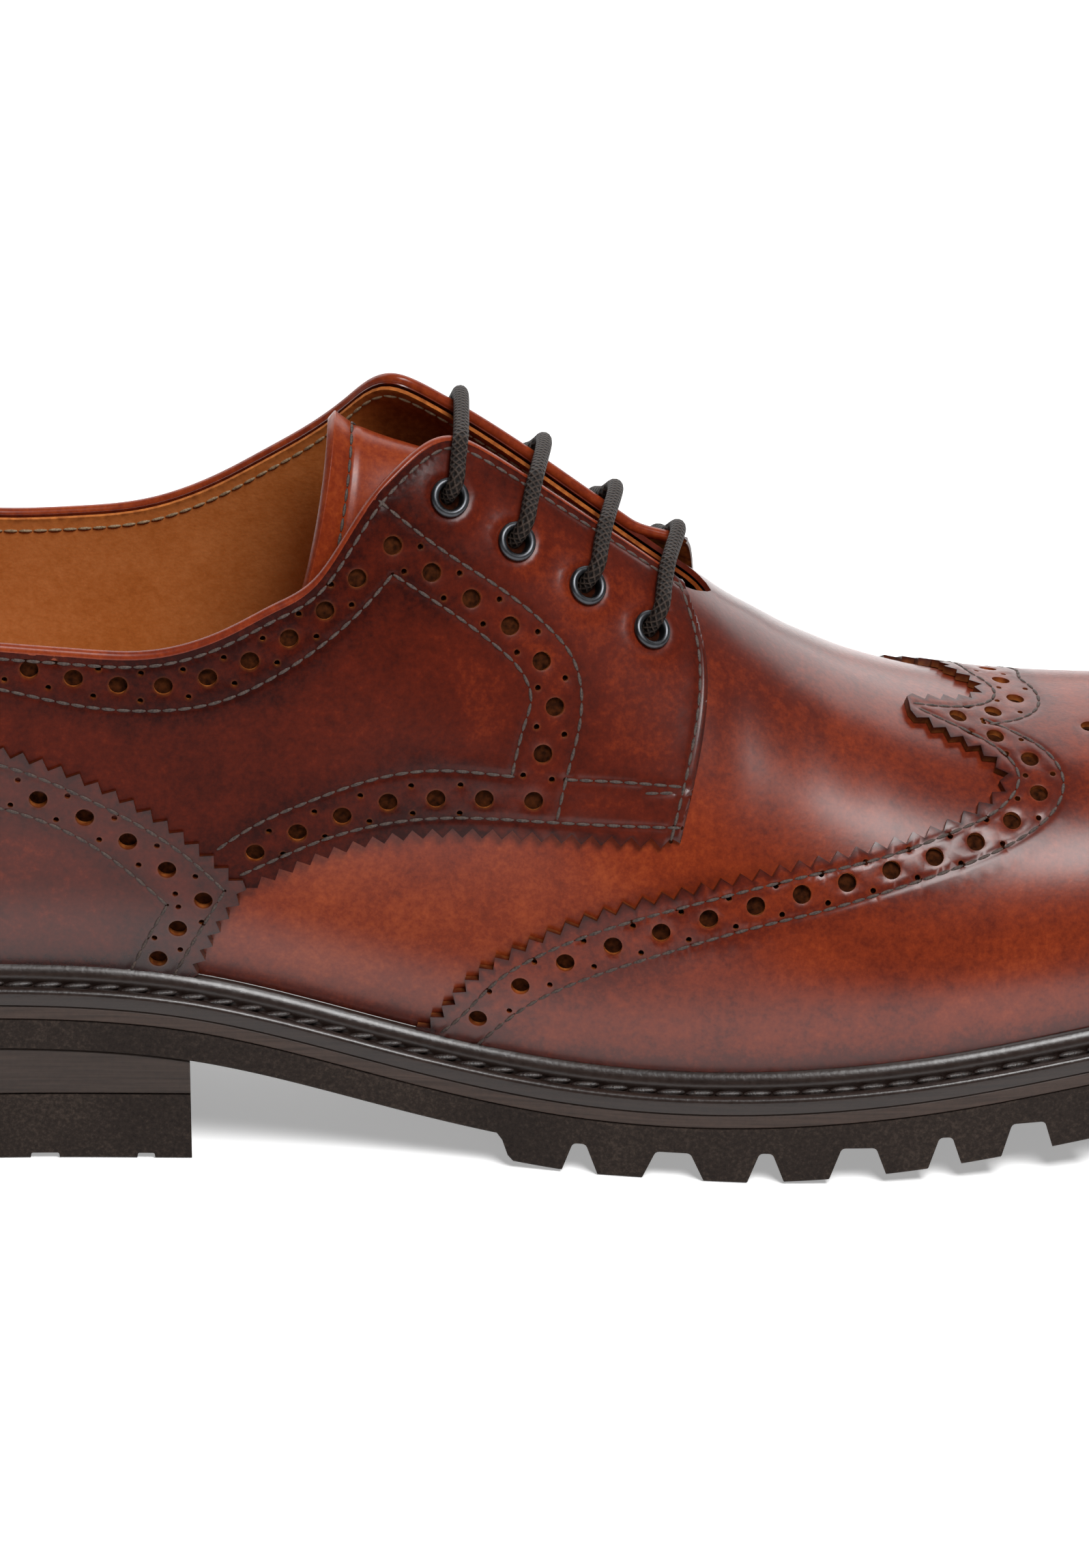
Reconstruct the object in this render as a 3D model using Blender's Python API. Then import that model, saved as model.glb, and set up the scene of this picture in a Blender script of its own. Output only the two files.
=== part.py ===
"""A wing-tip derby shoe for the right foot, standing empty on its sole.

Sizes and tables are in millimetres: x runs from the heel's back to the toe, the lateral (outer)
side is -y and z is up from the floor. The model is in metres, its origin under the sole's middle.

A place on the upper is (q, side, t). q is x along the foot, and at both round ends it goes on as
a fan of sections turning about a pole. side is -1 for lateral and 1 for medial. t is the share of
the girth, from 0 at the feather edge, where upper meets welt, to 1 on the ridge.
"""

import bmesh
import bpy
import numpy as np

MM = 0.001
GAP = 0.3

# How meshes are made: welding, shading and the spacing of the sole's stations
WELD_DIGITS = 3
SHARP_DEG = 38.0
SOLE_STEP = 9.0

# Driving sizes of the sole
LENGTH = 305.0
HEEL_RADIUS, HEEL_POWER = 34.0, 2.1
TOE_RADIUS, TOE_POWER = 60.0, 2.2
WELT = 3.4
WELT_ROUND, WELT_FLAT = 0.8, 2.6
MIDSOLE = 3.0
RUBBER = 6.2
TREAD = 11.6
LUG_DEPTH = 6.4
HEEL_BREAST = 78.7
TOP_PIECE = 13.6
STACK_STEP = 0.4
FIRST_LUG = 138.6

# Driving sizes of the upper
FEATHER = 7.0
WALL = 2.2
OVERLAY_GAP = 0.75
OVERLAY = 1.2
OVERLAY_FOOT = 5.2
INSOLE_RISE = 3.3
BEAD_GIRTH, BEAD_REACH, BEAD_ROUND = 3.8, 2.4, 0.7
BEAD_GAP = 0.4
THROAT_END = 178.5

# The round ends: where their fans turn, and the length of q that each quarter turn takes
HEEL_POLE, HEEL_ARC = 34.0, 45.0
TOE_POLE, TOE_ARC = 255.0, 65.0
Q_HEEL = HEEL_POLE - HEEL_ARC
Q_TOE = TOE_POLE + TOE_ARC

# The grid of the upper: rows of a section, as shares of its girth, and stations along q
GIRTH_ROWS = np.linspace(0, 1, 10)
UPPER_COUNT = 37
CLOSE_STATIONS = np.array([103, 108, 112, 116, 120, 124.5, 130, 137, 170, 175, THROAT_END])
PANEL_ROWS = {"quarter": 6, "counter": 5, "tongue": 5}
PANEL_STEPS = {"quarter": 5, "counter": 4, "wing": 10}
PANEL_BLEND = {"quarter": 145.0, "counter": 60.0, "wing": 240.0}

# Lace and eyelets
EYELET_OUTER, EYELET_BORE, EYELET_BARREL, EYELET_HOLE = 3.65, 2.2, 2.6, 2.95
EYELET_FLANGE, EYELET_ROUND, EYELET_FOOT = 0.8, 0.4, -0.4
EYELET_SIDES, HOLE_SIDES = 10, 12
HOLE_BELOW, HOLE_LENGTH = 6.0, 11.0
LACE_RADIUS, LACE_CLEAR = 1.55, 4.6
LACE_LIFTS = (4.9, 5.1, 4.3)
LACE_LEAN = {-1: (0.0, 0.3, 1.0), 1: (0.0, 1.6, 2.8)}


def natural_spline(xs, ys):
    """A smooth curve through the rows of a short table."""
    xs, ys = np.array(xs, float), np.array(ys, float)
    step = np.diff(xs)
    slope = np.diff(ys) / step
    matrix = np.eye(len(xs))
    right = np.zeros(len(xs))
    for i in range(1, len(xs) - 1):
        matrix[i, i - 1:i + 2] = step[i - 1], 2 * (step[i - 1] + step[i]), step[i]
        right[i] = 6 * (slope[i] - slope[i - 1])
    bend = np.linalg.solve(matrix, right)

    def curve(x):
        x = np.clip(np.asarray(x, float), xs[0], xs[-1])
        i = np.clip(np.searchsorted(xs, x) - 1, 0, len(xs) - 2)
        a = (xs[i + 1] - x) / step[i]
        b = (x - xs[i]) / step[i]
        cubic = (a**3 - a) * bend[i] + (b**3 - b) * bend[i + 1]
        return a * ys[i] + b * ys[i + 1] + cubic * step[i]**2 / 6

    return curve


def table(names, *rows):
    """One curve for each named column, over the first column."""
    xs = [row[0] for row in rows]
    return {name: natural_spline(xs, [row[k] for row in rows])
            for k, name in enumerate(names.split()) if k}


# The sole's half widths before its ends are rounded, and the top of its rubber
SOLE = table(
    "x lateral medial rubber_top",
    (0, 34.0, 34.0, 31.0),
    (43, 33.0, 33.0, 29.9),
    (80, 35.0, 33.0, 27.0),
    (118, 38.0, 33.5, 17.1),
    (152, 44.5, 39.0, 11.7),
    (186, 50.0, 47.5, 11.8),
    (219, 51.0, 52.0, 14.8),
    (252, 47.5, 53.0, 19.0),
    (305, 42.0, 51.0, 26.0))

# The last's sections: bulge over the feather edge, ridge, and fullness of each side
LAST = table(
    "q bulge_lateral bulge_medial ridge_z ridge_y full_lateral full_medial",
    (-11, 4.4, 4.4, 168.0, 0.0, 2.3, 2.3),
    (43, 5.5, 5.5, 168.0, 0.0, 2.3, 2.3),
    (80, 6.0, 6.0, 162.0, 0.5, 2.1, 2.1),
    (108, 7.1, 7.0, 151.0, 2.0, 1.9, 1.95),
    (130, 7.1, 7.0, 139.0, 3.0, 1.8, 1.9),
    (152, 6.0, 7.5, 121.0, 3.0, 1.75, 1.85),
    (175, 5.4, 6.9, 101.0, 3.0, 1.75, 1.85),
    (198, 4.0, 5.5, 84.5, 3.0, 1.85, 2.0),
    (219, 3.0, 3.5, 74.5, 3.0, 2.05, 2.25),
    (240, 1.8, 2.0, 69.4, 3.2, 2.2, 2.45),
    (255, 1.3, 1.4, 68.2, 3.5, 2.25, 2.45),
    (275, 1.1, 1.1, 68.2, 3.5, 2.3, 2.4),
    (320, 1.0, 1.0, 68.2, 3.5, 2.35, 2.35))

# The upper's open edge, as a share of the girth: collar, peak of the facing, facing, throat
COLLAR = table(
    "q lateral medial",
    (-11, 0.530, 0.530),
    (20, 0.512, 0.512),
    (45, 0.494, 0.493),
    (60, 0.491, 0.503),
    (73, 0.500, 0.528),
    (88, 0.556, 0.604),
    (96, 0.603, 0.665),
    (104, 0.660, 0.735),
    (111, 0.752, 0.815),
    (115, 0.803, 0.870),
    (119, 0.845, 0.908),
    (124, 0.893, 0.918),
    (129, 0.925, 0.914),
    (136, 0.936, 0.911),
    (152, 0.943, 0.911),
    (170, 0.955, 0.918),
    (175, 0.966, 0.940),
    (178.5, 1.0, 1.0))

# The counter's top edge, and the lower edge of the quarters ahead of it
COUNTER_TOP = table(
    "q t",
    (-11, 0.366),
    (20, 0.362),
    (45, 0.347),
    (64, 0.299),
    (75, 0.259),
    (90, 0.184))
QUARTER_FOOT = table(
    "q t",
    (90, 0.184),
    (95, 0.213),
    (105, 0.270),
    (120, 0.333),
    (143, 0.391),
    (154, 0.417),
    (176, 0.470))
QUARTER_FRONT = table(
    "share q",
    (0, 170.3),
    (0.35, 174.6),
    (0.72, 175.9),
    (1, 172.3))
COUNTER_CORNER, COUNTER_FRONT = 90.0, 78.5
QUARTER_SEAM = 0.007

# The wing's edge: from its tail at the welt up to the lobe, then back to the peak on the ridge
WING = table(
    "t q",
    (0.0, 120.5),
    (0.058, 125.5),
    (0.109, 129.4),
    (0.163, 134.7),
    (0.21, 141.0),
    (0.291, 154.0),
    (0.361, 168.4),
    (0.444, 187.7),
    (0.524, 207.5),
    (0.58, 219.8),
    (0.622, 225.6),
    (0.668, 230.2),
    (0.708, 232.0),
    (0.779, 230.1),
    (0.824, 225.2),
    (0.86, 219.0),
    (0.91, 214.6),
    (1.0, 212.0))

# The tongue's side edges and how far it sinks below the facings
TONGUE_TIP, TONGUE_BODY, TONGUE_END, TONGUE_COUNT = (101.0, 105.0), 112.0, 187.0, 7
TONGUE_THICK, TONGUE_GAP = 2.0, 1.3
TONGUE = table(
    "q edge drop",
    (101, 0.80, 10.5),
    (105, 0.75, 11.0),
    (112, 0.70, 11.5),
    (122, 0.70, 10.5),
    (136, 0.70, 7.0),
    (155, 0.71, 3.0),
    (172, 0.73, 0.5),
    (187, 0.74, 0.0))

EYELETS = (
    {"q": 128.3, "lateral": 0.832, "medial": 0.816},
    {"q": 140.5, "lateral": 0.820, "medial": 0.806},
    {"q": 153.5, "lateral": 0.817, "medial": 0.800},
    {"q": 165.4, "lateral": 0.806, "medial": 0.798})

# Gaps between the lugs at the sole's edge: where each is, its width at the floor and at its root
LUG_GAPS = (
    {"x": 151.2, "floor": 6.8, "root": 2.4},
    {"x": 168.6, "floor": 11.6, "root": 6.4},
    {"x": 185.9, "floor": 7.0, "root": 2.4},
    {"x": 203.2, "floor": 10.8, "root": 6.4},
    {"x": 219.5, "floor": 6.4, "root": 2.4},
    {"x": 235.1, "floor": 9.8, "root": 6.2},
    {"x": 251.1, "floor": 6.4, "root": 2.4},
    {"x": 266.9, "floor": 9.8, "root": 6.2},
    {"x": 282.5, "floor": 6.0, "root": 2.4})
LUG_REACH, LUG_GROOVE, GROOVE_DEPTH = 19.0, 5.0, 5.4
GROOVE_SPAN, GROOVE_COUNT = (144.6, 277.0), 14
LUG_RISE = 2.5
CUT_BELOW = 4.0
HEEL_GROOVES = ({"x": 51.1, "width": 5.2}, {"x": 70.1, "width": 3.1})
HEEL_GROOVE_DEPTH = 1.2


def side_name(side):
    return "lateral" if side < 0 else "medial"


def round_end(distance, radius, power):
    """Share of the full width at a distance from a round end."""
    past = np.clip((radius - distance) / radius, 0, 1)
    return (1 - past**power)**(1 / power)


def half_width(x, side, inset):
    """Half width of the sole's outline, moved in by an inset."""
    heel = round_end(x - inset, HEEL_RADIUS - inset, HEEL_POWER)
    toe = round_end(LENGTH - inset - x, TOE_RADIUS - inset, TOE_POWER)
    return (SOLE[side_name(side)](x) - inset) * heel * toe


def fan_reach(pole, tip, side, inset, angle):
    """Distance from a pole to the outline, at an angle off straight across."""
    along = pole + (tip - pole) * np.sin(np.linspace(0, np.pi / 2, 300))
    across = half_width(along, side, inset)
    return np.interp(angle, np.arctan2(abs(along - pole), across), np.hypot(along - pole, across))


def station(q, side, inset):
    """Centre, direction and reach of the sections at q."""
    q = np.asarray(q, float)
    centre = np.clip(q, HEEL_POLE, TOE_POLE)
    heel = np.clip((HEEL_POLE - q) / HEEL_ARC, 0, 1) * np.pi / 2
    toe = np.clip((q - TOE_POLE) / TOE_ARC, 0, 1) * np.pi / 2
    direction = np.stack([np.sin(toe) - np.sin(heel), side * np.cos(toe) * np.cos(heel)], -1)
    reach = half_width(centre, side, inset)
    reach = np.where(heel > 0, fan_reach(HEEL_POLE, inset, side, inset, heel), reach)
    reach = np.where(toe > 0, fan_reach(TOE_POLE, LENGTH - inset, side, inset, toe), reach)
    return centre, direction, reach


def edge(q, side, inset):
    """Plan points of the sole's outline, moved in by an inset."""
    centre, direction, reach = station(q, side, inset)
    return np.stack([centre + direction[..., 0] * reach, direction[..., 1] * reach], -1)


def rubber_top(x):
    return SOLE["rubber_top"](x)


def midsole_top(x):
    return rubber_top(x) + MIDSOLE


def lip(x):
    """Height of the welt's flat lip."""
    return rubber_top(x) + MIDSOLE + WELT


def profiles(q, side):
    """Sections of the last at each q, as points from feather edge to ridge."""
    name = side_name(side)
    q = np.asarray(q, float)[:, None]
    rise = np.sin(np.linspace(0, np.pi / 2, 81))[None, :]
    centre, direction, reach = station(q, side, FEATHER)
    full = LAST["full_" + name](q)
    out = (reach + LAST["bulge_" + name](q) * (1 - (1 - rise)**4)) * (1 - rise**full)**(1 / full)
    foot = lip(centre + direction[..., 0] * reach) + GAP
    x = centre + direction[..., 0] * out
    y = direction[..., 1] * out + LAST["ridge_y"](q) * rise
    z = foot + (LAST["ridge_z"](q) - foot) * rise
    return np.stack(np.broadcast_arrays(x, y, z), -1)


def surface(q, side, t):
    """Points of the last, with their girths."""
    q, t = np.broadcast_arrays(np.asarray(q, float), np.asarray(t, float))
    lines = profiles(q.ravel(), side)
    steps = np.linalg.norm(np.diff(lines, axis=1), axis=2)
    lengths = np.concatenate([np.zeros((len(lines), 1)), np.cumsum(steps, axis=1)], axis=1)
    points = [[np.interp(share * length[-1], length, line[:, k]) for k in range(3)]
              for share, length, line in zip(t.ravel(), lengths, lines)]
    return np.array(points).reshape(q.shape + (3,)), lengths[:, -1].reshape(q.shape)


def girth(q, side):
    return surface(q, side, np.zeros_like(np.asarray(q, float)))[1]


def slant(q, side, t):
    """Outward normals of the last, read a little below the ridge."""
    step_q, step_t, below = 0.2, 0.004, 0.985
    t = np.minimum(t, below)
    along = surface(np.minimum(q + step_q, Q_TOE), side, t)[0]
    along = along - surface(np.maximum(q - step_q, Q_HEEL), side, t)[0]
    up = surface(q, side, t + step_t)[0] - surface(q, side, np.maximum(t - step_t, 0))[0]
    normal = -side * np.cross(along, up)
    return normal / np.linalg.norm(normal, axis=-1, keepdims=True)


def outward(q, side, t):
    """Outward normals; where the last's two sides meet, they share one."""
    q, t = np.broadcast_arrays(np.asarray(q, float), np.asarray(t, float))
    normal = slant(q, side, t)
    shared = normal + slant(q, -side, t)
    shared = shared / np.linalg.norm(shared, axis=-1, keepdims=True)
    meet = (t > 0.999) | (q < Q_HEEL + 0.001) | (q > Q_TOE - 0.001)
    return np.where(meet[..., None], shared, normal)


def lifted(q, side, t, lift):
    """Points off the last by a lift."""
    return surface(q, side, t)[0] + outward(q, side, t) * np.asarray(lift)[..., None]


def frame_shift():
    """The middle of the sole's box, which becomes the origin."""
    q = sole_stations(Q_HEEL, Q_TOE)
    outline = np.concatenate([edge(q, side, 0) for side in (-1, 1)])
    low, high = outline.min(axis=0), outline.max(axis=0)
    return np.array([*(low + high) / 2, 0])


def sole_stations(start, end):
    """Even stations for the layers of the sole."""
    return np.linspace(start, end, int(round((end - start) / SOLE_STEP)) + 1)


def material(name, colour, roughness, metallic=0.0):
    made = bpy.data.materials.new(name)
    made.use_nodes = True
    shader = made.node_tree.nodes["Principled BSDF"]
    shader.inputs["Base Color"].default_value = (*colour, 1)
    shader.inputs["Roughness"].default_value = roughness
    shader.inputs["Metallic"].default_value = metallic
    return made


def weld(points, faces):
    """The numbers of the points that are kept when doubled ones are welded, and the faces left."""
    kept, index, first = {}, [], []
    for number, point in enumerate(points):
        key = tuple(np.round(point, WELD_DIGITS) + 0.0)
        if key not in kept:
            kept[key] = len(kept)
            first.append(number)
        index.append(kept[key])
    welded = []
    for face in faces:
        corners = [index[k] for k in face]
        corners = [c for k, c in enumerate(corners) if c != corners[k - 1]]
        if len(corners) > 2:
            welded.append(corners)
    return first, welded


def make(name, points, faces, finish):
    """One named object from points in millimetres."""
    points = np.asarray(points, float).reshape(-1, 3)
    first, welded = weld(points, faces)
    mesh = bpy.data.meshes.new(name)
    mesh.from_pydata(((points[first] - SHIFT) * MM).tolist(), [], welded)
    outward = bmesh.new()
    outward.from_mesh(mesh)
    bmesh.ops.recalc_face_normals(outward, faces=outward.faces)
    outward.to_mesh(mesh)
    outward.free()
    mesh.materials.append(finish)
    mesh.shade_smooth()
    mesh.set_sharp_from_angle(angle=np.radians(SHARP_DEG))
    made = bpy.data.objects.new(name, mesh)
    bpy.context.collection.objects.link(made)
    return made


def grid_faces(rows, columns, start=0, flip=False):
    """Quads of a grid whose points are numbered row by row."""
    faces = []
    for i in range(rows - 1):
        for j in range(columns - 1):
            a = start + i * columns + j
            quad = (a, a + columns, a + columns + 1, a + 1)
            faces.append(quad[::-1] if flip else quad)
    return faces


def shell(name, outer, inner, faces, finish):
    """A closed wall between two skins with the same faces, rimmed along their open edges."""
    outer = np.asarray(outer, float).reshape(-1, 3)
    inner = np.asarray(inner, float).reshape(-1, 3)
    first, skin = weld(outer, faces)
    sides = {(face[k - 1], face[k]) for face in skin for k in range(len(face))}
    count = len(first)
    walls = [[b, a, a + count, b + count] for a, b in sides if (b, a) not in sides]
    lining = [[c + count for c in reversed(face)] for face in skin]
    points = np.concatenate([outer[first], inner[first]])
    return make(name, points, skin + lining + sorted(walls), finish)


def plate(name, lateral, medial, bottom, top, finish):
    """A layer between two outlines, its faces at the heights that x gives."""
    count = len(lateral)
    points = []
    for left, right in zip(lateral, medial):
        points += [(*left, bottom(left[0])), (*left, top(left[0]))]
        points += [(*right, top(right[0])), (*right, bottom(right[0]))]
    faces = []
    for i in range(count - 1):
        for k in range(4):
            a, b = 4 * i + k, 4 * i + (k + 1) % 4
            faces.append((a, a + 4, b + 4, b))
    last = 4 * (count - 1)
    faces += [(0, 1, 2, 3), (last + 3, last + 2, last + 1, last)]
    return make(name, points, faces, finish)


def cutter(name, points, faces):
    """A form that only cuts; it isn't part of the shoe."""
    made = make(name, points, faces, None)
    made.hide_render = True
    made.display_type = "WIRE"
    return made


def cut(target, tool):
    modifier = target.modifiers.new("cut_" + tool.name, "BOOLEAN")
    modifier.operation = "DIFFERENCE"
    modifier.object = tool


def prism(corners, depth_axis):
    """Points and faces of a straight prism: one outline, and the same outline moved along."""
    corners = np.asarray(corners, float)
    count = len(corners)
    points = np.concatenate([corners, corners + np.asarray(depth_axis, float)])
    faces = [tuple(range(count)), tuple(reversed(range(count, 2 * count)))]
    faces += [(k, k + count, (k + 1) % count + count, (k + 1) % count) for k in range(count)]
    return points, faces


def joined(pieces):
    """Several separate forms as one list of points and faces."""
    points, faces = [], []
    for more_points, more_faces in pieces:
        faces += [tuple(k + len(points) for k in face) for face in more_faces]
        points += [tuple(point) for point in more_points]
    return points, faces


def tread_bottom(x):
    """Underside of the rubber: level over heel and waist, down to the floor at the lugs."""
    waist = rubber_top(x) - RUBBER
    lugs = np.maximum(rubber_top(x) - TREAD, 0)
    return np.where(x < FIRST_LUG - LUG_RISE / 2, waist, lugs)


def make_outsole():
    q = sole_stations(Q_HEEL, Q_TOE)
    q = q[abs(q - FIRST_LUG) > SOLE_STEP / 3]
    q = np.sort(np.append(q, (FIRST_LUG - LUG_RISE, FIRST_LUG)))
    sole = plate("outsole", edge(q, -1, 0), edge(q, 1, 0), tread_bottom, rubber_top, RUBBER_BLACK)

    across, below, cuts = LENGTH / 4, CUT_BELOW, []
    for gap in LUG_GAPS:
        root = float(rubber_top(gap["x"])) - TREAD + LUG_DEPTH
        floor = max(float(rubber_top(gap["x"])) - TREAD, 0)
        spread = (gap["floor"] - gap["root"]) / (root - floor) / 2
        low = gap["root"] / 2 + spread * (root - floor + below)
        corners = [(gap["x"] - low, -across, floor - below),
                   (gap["x"] - gap["root"] / 2, -across, root),
                   (gap["x"] + gap["root"] / 2, -across, root),
                   (gap["x"] + low, -across, floor - below)]
        cuts.append(prism(corners, (0, 2 * across, 0)))
    cut(sole, cutter("lug_gap_cutter", *joined(cuts)))

    grooves = []
    x = np.linspace(*GROOVE_SPAN, GROOVE_COUNT)
    for side in (-1, 1):
        rows = []
        for reach, height in ((LUG_REACH, "low"), (LUG_REACH, "high"),
                              (LUG_REACH + LUG_GROOVE, "high"), (LUG_REACH + LUG_GROOVE, "low")):
            y = side * (half_width(x, side, 0) - reach)
            root = rubber_top(x) - TREAD + GROOVE_DEPTH
            z = root if height == "high" else root - TREAD
            rows.append(np.stack([x, y, z], -1))
        points = np.concatenate(np.stack(rows, 1))
        faces = [(0, 1, 2, 3), tuple(4 * len(x) - k for k in (1, 2, 3, 4))]
        for i in range(len(x) - 1):
            for k in range(4):
                a, b = 4 * i + k, 4 * i + (k + 1) % 4
                faces.append((a, a + 4, b + 4, b))
        grooves.append((points, faces))
    cut(sole, cutter("lug_groove_cutter", *joined(grooves)))


def make_midsole():
    q = sole_stations(Q_HEEL, Q_TOE)
    plate("midsole", edge(q, -1, 0), edge(q, 1, 0),
          lambda x: rubber_top(x) + GAP, midsole_top, MIDSOLE_BROWN)


def make_heel():
    q = sole_stations(Q_HEEL, HEEL_BREAST)
    lateral, medial = edge(q, -1, STACK_STEP), edge(q, 1, STACK_STEP)
    plate("heel_stack", lateral, medial, lambda x: TOP_PIECE + GAP + 0 * x,
          lambda x: rubber_top(x) - RUBBER - GAP, STACK_BROWN)
    top_piece = plate("heel_top_piece", edge(q, -1, 0), edge(q, 1, 0), lambda x: 0 * x,
                      lambda x: TOP_PIECE + 0 * x, RUBBER_BLACK)
    across, below, cuts = LENGTH / 4, CUT_BELOW, []
    for groove in HEEL_GROOVES:
        left, right = groove["x"] - groove["width"] / 2, groove["x"] + groove["width"] / 2
        corners = [(left, -across, -below), (left, -across, HEEL_GROOVE_DEPTH),
                   (right, -across, HEEL_GROOVE_DEPTH), (right, -across, -below)]
        cuts.append(prism(corners, (0, 2 * across, 0)))
    cut(top_piece, cutter("heel_groove_cutter", *joined(cuts)))


def feather_line(q, side, offset):
    """Plan points beside the feather edge, off it along the level normal."""
    foot = edge(q, side, FEATHER)
    normal = outward(q, side, np.zeros_like(q))[..., :2]
    return foot + offset * normal / np.linalg.norm(normal, axis=-1, keepdims=True)


def make_insole():
    q = sole_stations(Q_HEEL, Q_TOE)
    inside = -(WALL + 2 * GAP)
    plate("insole", feather_line(q, -1, inside), feather_line(q, 1, inside),
          lambda x: midsole_top(x) + GAP, lambda x: lip(x) + INSOLE_RISE, LINING_TAN)


def make_welt():
    """A ring: flat lip, then a bead up against the upper, and a ledge under the upper's wall."""
    rings = []
    for side in (-1, 1):
        q = sole_stations(Q_HEEL, Q_TOE)
        outer = edge(q, side, 0)
        rounded, flat = edge(q, side, WELT_ROUND), edge(q, side, WELT_FLAT)
        bead = lifted(q, side, BEAD_GIRTH / girth(q, side), BEAD_GAP)
        shoulder = feather_line(q, side, BEAD_REACH)
        foot, ledge = feather_line(q, side, BEAD_GAP), feather_line(q, side, -(WALL - GAP))

        def raised(plan, height):
            return np.column_stack([plan, lip(plan[:, 0]) + height])

        low = GAP - WELT
        ring = [raised(outer, low), raised(outer, -WELT_ROUND), raised(rounded, 0.0),
                raised(flat, 0.0), raised(shoulder, BEAD_GIRTH - BEAD_ROUND), bead,
                raised(foot, 0.0), raised(ledge, 0.0), raised(ledge, low)]
        rings.append(np.stack(ring, 1))
    around = np.concatenate([rings[0], rings[1][::-1]])
    count, turn = around.shape[:2]
    faces = []
    for i in range(count):
        for k in range(turn):
            a, b = i * turn + k, i * turn + (k + 1) % turn
            step = turn if i < count - 1 else turn * (1 - count)
            faces.append((a, a + step, b + step, b))
    make("welt", around, faces, WELT_BLACK)


def upper_stations():
    """Even stations, closer at the collar's corner and at the end of the throat."""
    even = np.linspace(Q_HEEL, Q_TOE, UPPER_COUNT)
    even = [q for q in even if min(abs(CLOSE_STATIONS - q)) > SOLE_STEP / 2]
    return np.sort(np.concatenate([even, CLOSE_STATIONS]))


def top_edge(q, side):
    return np.where(q > THROAT_END - 0.01, 1.0, COLLAR[side_name(side)](q))


def make_upper():
    q = upper_stations()
    outer, inner, faces = [], [], []
    for side in (-1, 1):
        t = top_edge(q, side)[:, None] * GIRTH_ROWS[None, :]
        stations = np.broadcast_to(q[:, None], t.shape)
        faces += grid_faces(len(q), len(GIRTH_ROWS), sum(map(len, outer)), side > 0)
        outer.append(lifted(stations, side, t, 0.0).reshape(-1, 3))
        inner.append(lifted(stations, side, t, -WALL).reshape(-1, 3))
    return shell("upper", np.concatenate(outer), np.concatenate(inner), faces, UPPER_BROWN)


def overlay(name, parts):
    """A leather panel over the upper, from one or more grids of (q, side, t)."""
    outer, inner, faces = [], [], []
    for q, side, t in parts:
        faces += grid_faces(*q.shape, sum(map(len, outer)), side > 0)
        outer.append(lifted(q, side, t, OVERLAY_GAP + OVERLAY).reshape(-1, 3))
        inner.append(lifted(q, side, t, OVERLAY_GAP).reshape(-1, 3))
    return shell(name, np.concatenate(outer), np.concatenate(inner), faces, UPPER_BROWN)


def panel_stations(panel, start, end):
    """A grid of q: the upper's own stations up to a blend, then steps on to a shaped end."""
    blend = PANEL_BLEND[panel]
    even = upper_stations()
    even = even[(even >= start) & (even < blend) | (even <= start) & (even > blend)]
    even = np.broadcast_to(even[:, None], (len(even), len(end)))
    steps = np.linspace(0, 1, PANEL_STEPS[panel])[:, None]
    return np.concatenate([even, blend + steps * (end[None, :] - blend)])


def make_quarter(name, side):
    share = np.linspace(0, 1, PANEL_ROWS["quarter"])
    q = panel_stations("quarter", Q_HEEL, QUARTER_FRONT["q"](share))
    q[0] += GAP
    low = np.where(q < COUNTER_CORNER, COUNTER_TOP["t"](q), QUARTER_FOOT["t"](q)) + QUARTER_SEAM
    high = COLLAR[side_name(side)](q)
    return overlay(name, [(q, side, low + share * (high - low))])


def make_counter():
    parts = []
    for side in (-1, 1):
        share = np.linspace(0, 1, PANEL_ROWS["counter"])
        front = COUNTER_FRONT + (COUNTER_CORNER - COUNTER_FRONT) * share
        q = panel_stations("counter", Q_HEEL, front)
        low = OVERLAY_FOOT / girth(q, side)
        parts.append((q, side, low + share * (COUNTER_TOP["t"](q) - low)))
    overlay("heel_counter", parts)


def make_wing():
    parts = []
    for side in (-1, 1):
        steps = PANEL_STEPS["wing"]
        q = panel_stations("wing", Q_TOE, WING["q"](GIRTH_ROWS))
        q = np.concatenate([q[:-steps - 1:-1], q[:-steps]])
        low = OVERLAY_FOOT / girth(q, side)
        parts.append((q, side, np.maximum(low, GIRTH_ROWS)))
    overlay("wing_cap", parts)


def make_tongue():
    outer, inner, faces = [], [], []
    q = np.concatenate([TONGUE_TIP, np.linspace(TONGUE_BODY, TONGUE_END, TONGUE_COUNT)])[:, None]
    for side in (-1, 1):
        low = TONGUE["edge"](q)
        t = low + (1 - low) * np.linspace(0, 1, PANEL_ROWS["tongue"])[None, :]
        stations = np.broadcast_to(q, t.shape)
        top = -(WALL + TONGUE_GAP)
        sunk = TONGUE["drop"](stations)[..., None] * np.array([0, 0, -1])
        faces += grid_faces(*t.shape, sum(map(len, outer)), side > 0)
        outer.append((lifted(stations, side, t, top) + sunk).reshape(-1, 3))
        inner.append((lifted(stations, side, t, top - TONGUE_THICK) + sunk).reshape(-1, 3))
    shell("tongue", np.concatenate(outer), np.concatenate(inner), faces, UPPER_BROWN)


def eyelet_frame(row, side):
    """Centre on the last, outward axis and two level directions of an eyelet."""
    q, t = np.array([row["q"]]), np.array([row[side_name(side)]])
    axis = slant(q, side, t)[0]
    first = np.cross(axis, (0.0, 0.0, 1.0))
    first = first / np.linalg.norm(first)
    return surface(q, side, t)[0][0], axis, first, np.cross(axis, first)


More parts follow.
